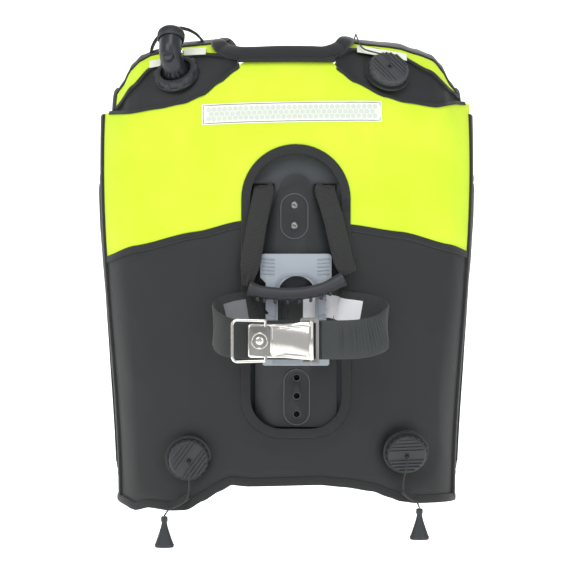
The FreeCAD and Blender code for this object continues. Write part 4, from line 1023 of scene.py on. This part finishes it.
def carryHandle():
    handle = {"radius": 0.0085, "teeth": 8}
    for name, side, foot in (("left", -1, (-0.058, -0.0225, 0.031)), ("right", 1, (0.073, -0.0225, 0.047))):
        x = 0.003 + side * 0.0405
        route = smoothLine([Vector((x, 0.0048, 0.1622)), Vector((x, -0.004, 0.1582)),
                            Vector((x, -0.0098, 0.1530)),
                            Vector((x + (foot[0] - x) * 0.35, -0.0160, 0.118)),
                            Vector((x + (foot[0] - x) * 0.75, -0.0200, 0.068)), Vector(foot)], 9)
        track = [(p, Vector((0, -1, 0.2)).normalized() if i > 8 else Vector((0, -0.5, 0.86)))
                 for i, p in enumerate(route)]
        leg = tape("handleLeg_" + name, track, 0.0262, 0.003, ribs=0.00025, pitch=0.0021)
        # the webbing folds together as it enters the grip
        for vertex in leg.data.vertices:
            low = easeStep((0.062 - vertex.co.z) / 0.028)
            centre = x + (foot[0] - x) * min(max((0.153 - vertex.co.z) / 0.12, 0), 1)
            vertex.co.x = centre + (vertex.co.x - centre) * (1 - 0.42 * low)
            vertex.co.y -= 0.0022 * low * math.cos((vertex.co.x - centre) * 620)
        leg.data.materials.append(handleWebbing)
        activate(leg)
        bpy.ops.object.shade_smooth_by_angle(angle=math.radians(50))
        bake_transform(leg)
        if side > 0:
            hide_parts("carry_webbing")
        else:
            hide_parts("handle_anchors")
    line = smoothLine([Vector((-0.0545, -0.025, 0.0275)), Vector((-0.036, -0.0262, 0.0225)),
                       Vector((0.002, -0.027, 0.0205)), Vector((0.038, -0.0262, 0.0265)),
                       Vector((0.0655, -0.025, 0.0395))], 10)
    sleeve = tubeAlong("carryGrip", line, lambda s: handle["radius"] * (1.0 + 0.16 * abs(2 * s - 1) ** 6
                       - 0.05 * math.sin(math.pi * s)), 28)
    finishPiece(sleeve, "carryGrip", handleRubber, "carry_handle", 40)
    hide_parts("carry_grip")
    teeth = []
    count = len(line)
    for index in range(handle["teeth"]):
        at = line[int(count * (0.17 + 0.66 * index / (handle["teeth"] - 1)))]
        teeth.append(roundedBar((at.x, at.y - 0.0005, at.z - handle["radius"] - 0.0018),
                                (0.0042, 0.011, 0.0062), 0.0015,
                                -10 + 3 * index))
    finishPiece(joinPieces(teeth), "gripTeeth", handleRubber, "carry_handle")
    bands = []
    for end in (0, -1):
        at, step = line[end], (line[1] - line[0] if end == 0 else line[-1] - line[-2]).normalized()
        collar = lathe("collar", [(0.0086, -0.0022), (0.0098, -0.0018), (0.0098, 0.0018), (0.0086, 0.0022)],
                       32)
        bands.append(turnTo(collar, at, step))
    finishPiece(joinPieces(bands), "gripCollars", handleRubber, "carry_handle")
    print("carrying handle set")


def tubeAlong(name, line, radius, sides=24):
    # a closed round tube; radius(share) gives its radius along the line
    rings, vertices, faces = len(line), [], []
    up = Vector((0, 0, 1))
    for index, place in enumerate(line):
        ahead = line[min(index + 1, rings - 1)] - line[max(index - 1, 0)]
        tangent = ahead.normalized()
        across = tangent.cross(up).normalized()
        up = across.cross(tangent).normalized()
        r = radius(index / (rings - 1))
        for k in range(sides):
            turn = 2 * math.pi * k / sides
            vertices.append(place + (across * math.cos(turn) + up * math.sin(turn)) * r)
    for index in range(rings - 1):
        for k in range(sides):
            low, high = index * sides, (index + 1) * sides
            faces.append((low + k, low + (k + 1) % sides, high + (k + 1) % sides, high + k))
    faces.append(tuple(reversed(range(sides))))
    faces.append(tuple((rings - 1) * sides + k for k in range(sides)))
    piece = meshPiece(name, vertices, faces)
    inEditMode(piece, lambda: bpy.ops.mesh.normals_make_consistent(inside=False))
    return piece


# dump valves, their cords and toggles

valves = {
    "left": {"centre": (-0.136, -0.004, -0.194), "normal": (0.12, -0.97, -0.2), "ridges": 62},
    "right": {"centre": (0.149, -0.002, -0.186), "normal": (0.06, -0.93, -0.36), "ridges": 6},
    "shoulder": {"centre": (0.1255, 0.0135, 0.3115), "normal": (0.20, -0.81, 0.56), "ridges": -42},
}
cordRoutes = {
    "left": [(-134.1, -19.4, -197.2), (-133.5, -24.7, -199), (-133.2, -28, -204.5), (-133.4, -27.5, -213),
             (-134, -23, -225), (-134.5, -16, -237), (-137, -11.5, -247), (-144.5, -9.5, -254),
             (-154.5, -8.5, -257.5), (-163, -8, -262), (-167, -8, -269.5)],
    "right": [(149.9, -16.6, -191.6), (150.2, -21.3, -194), (149.6, -24, -199), (148, -23.5, -207),
              (146, -19, -218), (144.5, -13.5, -229), (146, -9.5, -238.5), (151.5, -7.5, -245),
              (159.5, -6.5, -248.5), (165, -6, -253.5), (166.5, -6, -259.5)],
    "shoulder": [(128.6, 0.9, 320.2), (129.4, -3.4, 323.5), (126.4, -6.6, 329), (119.4, -6.6, 333.6),
                 (111, -3, 336.2), (103, 5, 339), (95, 18.5, 343), (89.5, 32, 350), (87, 51, 361.5),
                 (86, 72, 368.5), (86, 94, 371.5), (86, 117, 370.8), (85.3, 138, 366.3), (84, 158, 358.5),
                 (82.5, 175.5, 346.5), (80.5, 190, 330), (77.5, 200, 311), (74, 206.5, 290), (70, 210, 268),
                 (67.5, 211.5, 248), (67, 211.5, 232)],
}


def dumpValve(side):
    valve = valves[side]
    cap = {"radius": 0.026, "base": 0.0033, "top": 0.0135, "ridgePitch": 0.0047, "ridgeProud": 0.0016}
    base = frame["nodes"][side + "_dump_base"]
    profile = [(0.0, cap["top"]), (0.0215, cap["top"]), (0.0240, cap["top"] - 0.0007),
               (0.0256, cap["top"] - 0.0026),
               (cap["radius"], cap["top"] - 0.0050), (cap["radius"], cap["base"] + 0.0006),
               (cap["radius"] - 0.0006, cap["base"]), (0.0, cap["base"])]
    body = lathe(side + "Cap", profile, 72)
    parts = [body]
    # parallel ridges above and below a smooth middle band
    for sign in (-1, 1):
        for index in range(4):
            across = sign * (0.0072 + cap["ridgePitch"] * index)
            half = math.sqrt(max(0.0237 ** 2 - across ** 2, 0.00001))
            parts.append(roundedBar((0, across, cap["top"]), (2 * half, 0.0024, cap["ridgeProud"] * 2),
                                    0.0008))
    # grip lugs round the wall
    for index in range(20):
        turn = 2 * math.pi * index / 20
        lug = roundedBar((0, 0, 0), (0.0016, 0.0034, cap["top"] - cap["base"] - 0.005), 0.0006)
        lug.location = ((cap["radius"] + 0.0001) * math.cos(turn), (cap["radius"] + 0.0001) * math.sin(turn),
                        (cap["top"] + cap["base"]) / 2 - 0.001)
        lug.rotation_euler = (0, 0, turn)
        activate(lug)
        bpy.ops.object.transform_apply(location=True, rotation=True, scale=True)
        parts.append(lug)
    bpy.ops.mesh.primitive_torus_add(location=(0, 0, cap["top"]), major_radius=0.0034, minor_radius=0.0009,
                                     major_segments=28, minor_segments=8)
    parts.append(bpy.context.object)
    # a dark disc on the cap top: painted shade in the cord hole
    hole = lathe("cordHoleShade", [(0, cap["top"] + 0.0002), (0.0027, cap["top"] + 0.0002)], 24)
    whole = joinPieces(parts)
    turnTo(whole, valve["centre"], valve["normal"], math.radians(valve["ridges"]))
    finishPiece(whole, side + "DumpCap", shoulderPlastic if side == "shoulder" else capPlastic)
    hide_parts(side + "_dump_cap")
    turnTo(hole, valve["centre"], valve["normal"])
    finishPiece(hole, side + "CordHole", paintedHoleShade, smooth=0)
    # flange with a soft raised shroud, sewn to the cloth
    flange = lathe("flange", [(0.0205, 0.0029), (0.0272, 0.0031), (0.0294, 0.0022), (0.0302, 0.0006),
                              (0.0300, -0.0006), (0.0205, -0.0006)], 72)
    turnTo(flange, valve["centre"], valve["normal"])
    finishPiece(flange, side + "DumpShroud", neoprene)
    base.data.materials.clear()
    base.data.materials.append(bucklePlastic)
    poppet = frame["nodes"][side + "_dump_poppet"]
    poppet.data.materials.clear()
    poppet.data.materials.append(bucklePlastic)
    return whole


def toggleBell(side):
    # bell with two side lobes, hanging from its cord
    x, y, z = (value / 1000 for value in cordRoutes[side][-1])
    z -= 0.0004
    profile = [(0, 0), (0.0030, 0), (0.0044, -0.0012), (0.0046, -0.0055), (0.0036, -0.0078),
               (0.0038, -0.0100),
               (0.0050, -0.0150), (0.0070, -0.0215), (0.0092, -0.0280), (0.0112, -0.0335), (0.0124, -0.0365),
               (0.0126, -0.0395), (0.0114, -0.0409), (0.0060, -0.0395), (0, -0.0390)]
    bell = lathe("bell", profile, 40)
    for vertex in bell.data.vertices:
        low = easeStep((-0.012 - vertex.co.z) / 0.02)
        vertex.co.y *= 1 - 0.30 * low
    lobes = []
    for sign in (-1, 1):
        lobe = lathe("lobe", [(0, 0.0024), (0.0024, 0.0017), (0.0034, 0), (0.0024, -0.0017), (0, -0.0024)],
                     20)
        lobe.location = (sign * 0.0096, 0, -0.0372)
        activate(lobe)
        bpy.ops.object.transform_apply(location=True, rotation=True, scale=True)
        lobes.append(lobe)
    whole = joinPieces([bell] + lobes)
    whole.location = (x, y, z)
    finishPiece(whole, side + "Toggle", capPlastic, side + "_toggle")
    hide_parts(side + "_toggle")
    return whole


def pullCord(side, bell):
    route = [Vector(p) / 1000 for p in cordRoutes[side]]
    curve = bpy.data.curves.new(side + "Route", "CURVE")
    curve.dimensions = "3D"
    spline = curve.splines.new("NURBS")
    spline.points.add(len(route) - 1)
    for point, place in zip(spline.points, route):
        point.co = (*place, 1)
    spline.order_u = 3
    spline.use_endpoint_u = True
    spline.resolution_u = 10
    guide = bpy.data.objects.new(side + "Route", curve)
    bpy.context.scene.collection.objects.link(guide)
    traced = bpy.data.meshes.new_from_object(guide)
    path = [vertex.co.copy() for vertex in traced.vertices]
    bpy.data.objects.remove(guide)
    cord = tubeAlong(side + "PullCord", path, lambda s: 0.00098, 14)
    cord.data.materials.append(cordBraid)
    activate(cord)
    bpy.ops.object.shade_smooth()
    end = path[-1]
    if side == "shoulder":
        tuple(end)
        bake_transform(cord)
    else:
        tuple(path[0])
        tuple(end)
        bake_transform(cord)
    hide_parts(side + "_pull_cord")
    tuple(path[0])
    [tuple(p) for p in path]


def dumpValves():
    for side in valves:
        dumpValve(side)
        pullCord(side, toggleBell(side))
    springs = frame["nodes"]["valve_springs"]
    springs.data.materials.clear()
    springs.data.materials.append(satinSteel)
    # cloth tunnels on the hem that the lower cords run through
    for name, places in (("left", [(-0.137, -0.0082, -0.2445), (-0.1465, -0.0070, -0.2515),
                                   (-0.157, -0.0060, -0.2565)]),
                         ("right", [(0.1455, -0.0060, -0.2370), (0.1535, -0.0050, -0.2435),
                                    (0.161, -0.0042, -0.2480)])):
        line = smoothLine([Vector(p) for p in places], 6)
        finishPiece(tubeAlong("cordTunnel_" + name, line, lambda s: 0.0042, 16), "cordTunnel_" + name,
                    bindingTape, "root", 50)
    print("dump valves set")


# inflator elbow and hose keeper

def inflatorElbow():
    elbow = {"centre": Vector((-0.1505, 0.023, 0.307)), "normal": Vector((-0.26, -0.67, 0.69)).normalized(),
             "outlet": Vector((-0.159078, 0.016424, 0.365264)),
             "way": Vector((0.031273, 0.496416, 0.867521)).normalized()}
    softened("inflator_elbow", "inflatorElbow", elbowPlastic, 0, 60)
    softened("elbow_ring", "elbowRing", capPlastic, 0.0008)
    softened("hose_cuff", "hoseCuff", capPlastic, 0.0009)
    # ribs round the cuff, and a lip at its outlet
    rings = []
    for step in (-0.0098, -0.0070, -0.0042):
        ring = lathe("cuffRib", [(0.0172, -0.0007), (0.0182, -0.0003), (0.0182, 0.0003), (0.0172, 0.0007)],
                     48)
        rings.append(turnTo(ring, elbow["outlet"] + elbow["way"] * step, elbow["way"]))
    lip = lathe("lip",
                [(0.0112, 0.0002), (0.0128, 0.0014), (0.0152, 0.0012), (0.0166, -0.0008), (0.0150, -0.0016),
                        (0.0112, -0.0016)], 48)
    rings.append(turnTo(lip, elbow["outlet"], elbow["way"]))
    finishPiece(joinPieces(rings), "cuffRibs", capPlastic)
    skirt = lathe("skirt",
                  [(0.0212, 0.0125), (0.0232, 0.0133), (0.0262, 0.0129), (0.0275, 0.0116), (0.0262, 0.0110),
                            (0.0212, 0.0110)], 56)
    finishPiece(turnTo(skirt, elbow["centre"], elbow["normal"]), "elbowCollar", capPlastic)
    # round blank recess on the body, and the small steel pin beside it
    side = elbow["way"].cross(elbow["normal"]).normalized()
    face = elbow["centre"] + elbow["normal"] * 0.030
    away = Vector((-0.25, -0.93, 0.25)).normalized()
    plug = lathe("plug", [(0, 0.0006), (0.0050, 0.0008), (0.0058, 0.0022), (0.0072, 0.0024), (0.0078, 0.0008),
                          (0.0078, -0.004), (0, -0.004)], 40)
    finishPiece(turnTo(plug, face + away * 0.0142, away), "elbowPlug", elbowPlastic)
    pin = domedStud(face + side * 0.0150 + elbow["way"] * 0.010 + Vector((0, -0.004, 0)), 0.0032, 0.0016,
                    side)
    finishPiece(pin, "elbowPin", polishedSteel)
    # webbing keeper arched over the shoulder
    low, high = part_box("hose_keeper")
    centre = Vector((-0.152, 0, 0.340))
    track = []
    for index in range(41):
        turn = math.radians(-4 + 188 * index / 40)
        out = Vector((math.cos(turn), 0, math.sin(turn)))
        track.append((Vector((centre.x, 0.078, centre.z)) + out * 0.0376, out))
    track = [(p, n) for p, n in track if low.z - 0.002 <= p.z and low.x <= p.x <= high.x]
    strap = tape("hoseKeeper", track, high.y - low.y, 0.0030, ribs=0.0003, pitch=0.0024)
    finishPiece(strap, "hoseKeeper", blackWebbing)
    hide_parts("hose_keeper")
    print("inflator elbow set")


# reflective trim

def patchOnBack(name, outline, lift, thick, material, columns=40, rows=8, point=None):
    # a thin trim piece laid on the cloth: outline(across, up) gives its x and z
    place = point or (lambda x, z, up: backPoint(x, z, clothLift(x, z) + up))
    def spot(across, up):
        x, z = outline(across, up)
        return place(x, z, lift)
    piece = clothPatch(name, spot, columns, rows)
    faceAway(piece, (form["x"], form["y"], 0.1))
    applyModifier(piece, "SOLIDIFY", thickness=thick, offset=1)
    return finishPiece(piece, name, material)


def reflectiveStrip():
    strip = {"left": -0.118, "right": 0.117, "middle": 0.2585, "rise": 0.0022, "half": 0.0136,
             "border": 0.0032,
             "cells": 32}

    def level(x):
        return strip["middle"] + strip["rise"] * (x / 0.117) - 0.0012 * (x / 0.117) ** 2

    def area(inset):
        left, right = strip["left"] + inset, strip["right"] - inset
        half = strip["half"] - inset
        return lambda across, up: (left + (right - left) * across, level(left + (right - left) * across)
                                   + half * (2 * up - 1))
    patchOnBack("reflectiveStrip", area(0), 0.0006, 0.0008, reflectiveWhite, 80, 8)
    patchOnBack("reflectiveField", area(strip["border"]), 0.0013, 0.0004, reflectiveGrey, 80, 6)
    # two rows of hexagonal cells
    cells = []
    pitch = (strip["right"] - strip["left"] - 2 * strip["border"] - 0.004) / strip["cells"]
    for row, up in ((0, -0.0061), (1, 0.0), (0, 0.0061)):
        for index in range(strip["cells"] - row):
            x = strip["left"] + strip["border"] + 0.002 + pitch * (index + 0.5 + 0.5 * row)
            z = level(x) + up
            bpy.ops.mesh.primitive_circle_add(vertices=6, radius=pitch * 0.50, fill_type="NGON")
            cell = bpy.context.object
            inEditMode(cell, lambda: bpy.ops.mesh.inset(thickness=0.0004, depth=0.0003))
            turnTo(cell, backPoint(x, z, clothLift(x, z) + 0.0018), backNormal(x, z))
            cells.append(cell)
    finishPiece(joinPieces(cells), "reflectiveCells", reflectiveCell, smooth=0)
    edge = []
    inset = 0.0018
    left, right, half = strip["left"] + inset, strip["right"] - inset, strip["half"] - inset
    corners = [(left, level(left) - half)]
    corners += [(left + (right - left) * i / 30,
                 level(left + (right - left) * i / 30) - half) for i in range(1, 31)]
    corners += [(right - (right - left) * i / 30,
                 level(right - (right - left) * i / 30) + half) for i in range(31)]
    track = [(backPoint(x, z, clothLift(x, z) + 0.0015), backNormal(x, z)) for x, z in corners]
    edge.append(tape("stripStitch", track, 0.0007, 0.0006, closed=True))
    finishPiece(joinPieces(edge), "stripStitch", stitchThread)
    print("reflective trim sewn")


def wingPatches():
    # pale reflective strip let into each shoulder wing
    areas = {"left": [(-0.189, -0.174, 0.325, 0.327), (-0.143, -0.114, 0.341, 0.342)],
             "right": [(0.086, 0.152, 0.345, 0.334)]}
    for label, runs in areas.items():
        made = []
        for start, end, first, last in runs:
            def spot(across, up):
                x = start + (end - start) * across
                z = first + (last - first) * across + 0.010 * (up - 0.5)
                return backPoint(x, min(z, shoulderTop(abs(x - form["x"])) - 0.004), 0.0035)
            piece = clothPatch("wingPatch", spot, 20, 10)
            faceAway(piece, (form["x"], form["y"], 0.25))
            applyModifier(piece, "SOLIDIFY", thickness=0.0006, offset=1)
            made.append(piece)
        finishPiece(joinPieces(made), "wingReflector_" + label, reflectiveGrey)
    print("wing patches sewn")


# the front: lobes, pockets, wraps, straps and buckles

def paddedFrom(node, name, material, voxel=0.005, pressure=4.0, cap=0.006, tuck=0.0015):
    # a padded piece grown from a frame solid: remeshed, blown up a little as cloth, then smoothed
    source = frame["nodes"][node]
    piece = bpy.data.objects.new(name, source.data.copy())
    bpy.context.scene.collection.objects.link(piece)
    inEditMode(piece, lambda: bpy.ops.mesh.remove_doubles(threshold=0.00002))
    applyModifier(piece, "REMESH", mode="VOXEL", voxel_size=voxel)
    applyModifier(piece, "SMOOTH", factor=0.5, iterations=6)
    start = [vertex.co - vertex.normal * tuck for vertex in piece.data.vertices]
    for vertex, place in zip(piece.data.vertices, start):
        vertex.co = place
    cloth = piece.modifiers.new("cloth", "CLOTH")
    cloth.settings.use_pressure = True
    cloth.settings.uniform_pressure_force = pressure
    cloth.settings.effector_weights.gravity = 0
    cloth.settings.quality = 4
    cloth.collision_settings.use_collision = False
    for step in range(1, 21):
        bpy.context.scene.frame_set(step)
    blown = piece.evaluated_get(bpy.context.evaluated_depsgraph_get()).to_mesh()
    moved = [vertex.co.copy() for vertex in blown.vertices]
    piece.modifiers.remove(cloth)
    for vertex, place, goal in zip(piece.data.vertices, start, moved):
        travel = goal - place
        if travel.length > cap:
            travel = travel.normalized() * cap
        vertex.co = place + travel
    bpy.context.scene.frame_set(1)
    for vertex in piece.data.vertices:
        vertex.co += vertex.normal * 0.0010 * noise.noise(vertex.co * 26)
    applyModifier(piece, "SUBSURF", levels=1, render_levels=1)
    finishPiece(piece, name, material, smooth=60)
    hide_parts(node)
    return piece


def ringTrack(side, angles, levels, lift):
    return [(ringPoint(a, z, lift, side), ringNormal(a, z, side)) for a, z in zip(angles, levels)]


def frontHalves():
    paddedFrom("back_pad", "backPad", liningCloth, 0.006, cap=0.005)
    paddedFrom("air_bladder", "airBladder", bladderFilm, 0.006, pressure=1.5, cap=0.002)
    for label, side in (("left", -1), ("right", 1)):
        paddedFrom("front_lobe_" + label, "frontLobe_" + label, blackCloth, 0.006, cap=0.006)
        paddedFrom("pocket_" + label, "pocket_" + label, blackCloth, 0.005, cap=0.004)
        paddedFrom("cummerbund_" + label, "cummerbund_" + label, neoprene, 0.005, pressure=2, cap=0.0015,
                   tuck=0.0008)
        # piping where the panels of the lobe are sewn, and its bound edges
        runs = []
        top = lambda a: 0.178 - 0.040 * easeStep((a - 5) / 40)
        low = lambda a: -0.222 + 0.024 * easeStep((a - 10) / 50)
        angles = [-11 + 92 * i / 50 for i in range(51)]
        runs.append(tape("lobeTop", ringTrack(side, angles, [top(a) - 0.002 for a in angles], -0.006), 0.017,
                         0.014))
        runs.append(tape("lobeHem", ringTrack(side, angles, [low(a) + 0.002 for a in angles], -0.006), 0.017,
                         0.014))
        rows = [-0.196 + 0.330 * i / 40 for i in range(41)]
        runs.append(tape("lobeEdge", ringTrack(side, [80.4] * 41, rows, -0.006), 0.017, 0.014))
        finishPiece(joinPieces(runs), "lobeBinding_" + label, bindingTape)
        seam = [ringTrack(side, [-6 + 12 * i / 40 for i in range(41)],
                          [-0.205 + 0.29 * i / 40 for i in range(41)], 0.0012)]
        finishPiece(tape("lobePiping_" + label, seam[0], 0.0045, 0.0036), "lobePiping_" + label, bindingTape)
        # neon panel at the chest
        def chest(across, up):
            a = 24 + 50 * across
            return ringPoint(a, top(a) - 0.085 + 0.070 * up, 0.0046, side)
        panel = clothPatch("chestPanel", chest, 30, 16)
        faceAway(panel, (form["x"] + side * 0.1, form["y"], 0.05))
        applyModifier(panel, "SOLIDIFY", thickness=0.0014, offset=-1)
        finishPiece(panel, "chestPanel_" + label, neonCloth)
        # pocket edge tape and its zip
        frameLine = [(20 + 32 * i / 16,
                      -0.186) for i in range(17)] + [(52, -0.186 + 0.150 * i / 16) for i in range(1, 17)]
        frameLine += [(52 - 32 * i / 16,
                       -0.036) for i in range(1, 17)] + [(20, -0.036 - 0.150 * i / 16) for i in range(1, 16)]
        track = [(ringPoint(a, z, 0.0062, side), ringNormal(a, z, side)) for a, z in frameLine]
        finishPiece(tape("pocketBinding", track, 0.010, 0.0135, closed=True), "pocketBinding_" + label,
                    bindingTape)
        rows = [-0.170 + 0.122 * i / 30 for i in range(31)]
        zipTrack = ringTrack(side, [42] * 31, rows, 0.0128)
        finishPiece(tape("zipTape", zipTrack, 0.024, 0.0012), "zipTape_" + label, bindingTape)
        teeth = []
        for p, n in ringTrack(side, [42] * 46, [-0.168 + 0.117 * i / 45 for i in range(46)], 0.0136):
            tooth = roundedBar((0, 0, 0), (0.0046, 0.0013, 0.0013), 0.0002)
            tooth.rotation_mode = "QUATERNION"
            tooth.rotation_quaternion = Vector((0, 1, 0)).rotation_difference(n)
            tooth.location = p
            activate(tooth)
            bpy.ops.object.transform_apply(location=True, rotation=True, scale=True)
            teeth.append(tooth)
        finishPiece(joinPieces(teeth), "zipTeeth_" + label, bucklePlastic)
        softened("zip_slider_" + label, "zipSlider_" + label, satinSteel, 0.0005)
        softened("d_ring_" + label, "dRing_" + label, polishedSteel, 0)
        softened("shoulder_buckle_" + label, "shoulderBuckle_" + label, bucklePlastic, 0.0012)
    softened("d_ring_tabs", "dRingTabs", blackWebbing, 0.0012)
    softened("shoulder_buckle_sockets", "shoulderBuckleSockets", bucklePlastic, 0.0018)
    softened("waist_buckle_socket", "waistBuckleSocket", bucklePlastic, 0.0018)
    softened("waist_buckle_male", "waistBuckleMale", bucklePlastic, 0.0012)
    print("front halves sewn")


def frontStraps():
    # shoulder straps from each buckle down to the lobe, and the waist straps
    for label, side in (("left", -1), ("right", 1)):
        x = form["x"] + side * 0.120
        route = smoothLine([Vector((x, 0.2010, 0.181)), Vector((x, 0.2040, 0.166)),
                            Vector((x, 0.2072, 0.150)),
                            Vector((x, 0.2076, 0.120)), Vector((x, 0.2076, 0.090)),
                            Vector((x, 0.2076, 0.063))], 8)
        strap = tape("shoulderStrap", [(p, Vector((0, 1, 0))) for p in route], 0.038, 0.0020, ribs=0.0002,
                     pitch=0.0022)
        strap.data.materials.append(blackWebbing)
        strap.name = "shoulderStrap_" + label
        activate(strap)
        bpy.ops.object.shade_smooth_by_angle(angle=math.radians(40))
        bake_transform(strap)
        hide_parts("shoulder_strap_" + label)
        anchor = plateFrom("strapAnchor",
                           roundedOutline([(x - 0.021, 0.050), (x + 0.021, 0.050), (x + 0.021, 0.084),
                                                          (x - 0.021, 0.084)], 0.003), 0.2095, 0.2045, 0.0012)
        finishPiece(anchor, "strapAnchor_" + label, blackWebbing)
        if side < 0:
            softened("waist_strap_left", "waistStrap_left", blackWebbing, 0.0004)
    piece = bpy.data.objects.new("waistStrap_right", frame["nodes"]["waist_strap_right"].data.copy())
    bpy.context.scene.collection.objects.link(piece)
    inEditMode(piece, lambda: bpy.ops.mesh.remove_doubles(threshold=0.00002))
    piece.data.materials.clear()
    piece.data.materials.append(blackWebbing)
    activate(piece)
    bpy.ops.object.shade_smooth_by_angle(angle=math.radians(40))
    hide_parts("waist_strap_right")
    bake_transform(piece)
    print("straps threaded")


setStage()
dumpValves()
backPanels()
bindings()
gussets()
shoulderWings()
collarRoll()
backplate()
gripPad()
tankBand()
camBuckle()
carryHandle()
inflatorElbow()
reflectiveStrip()
wingPatches()
frontHalves()
frontStraps()

bpy.context.view_layer.update()
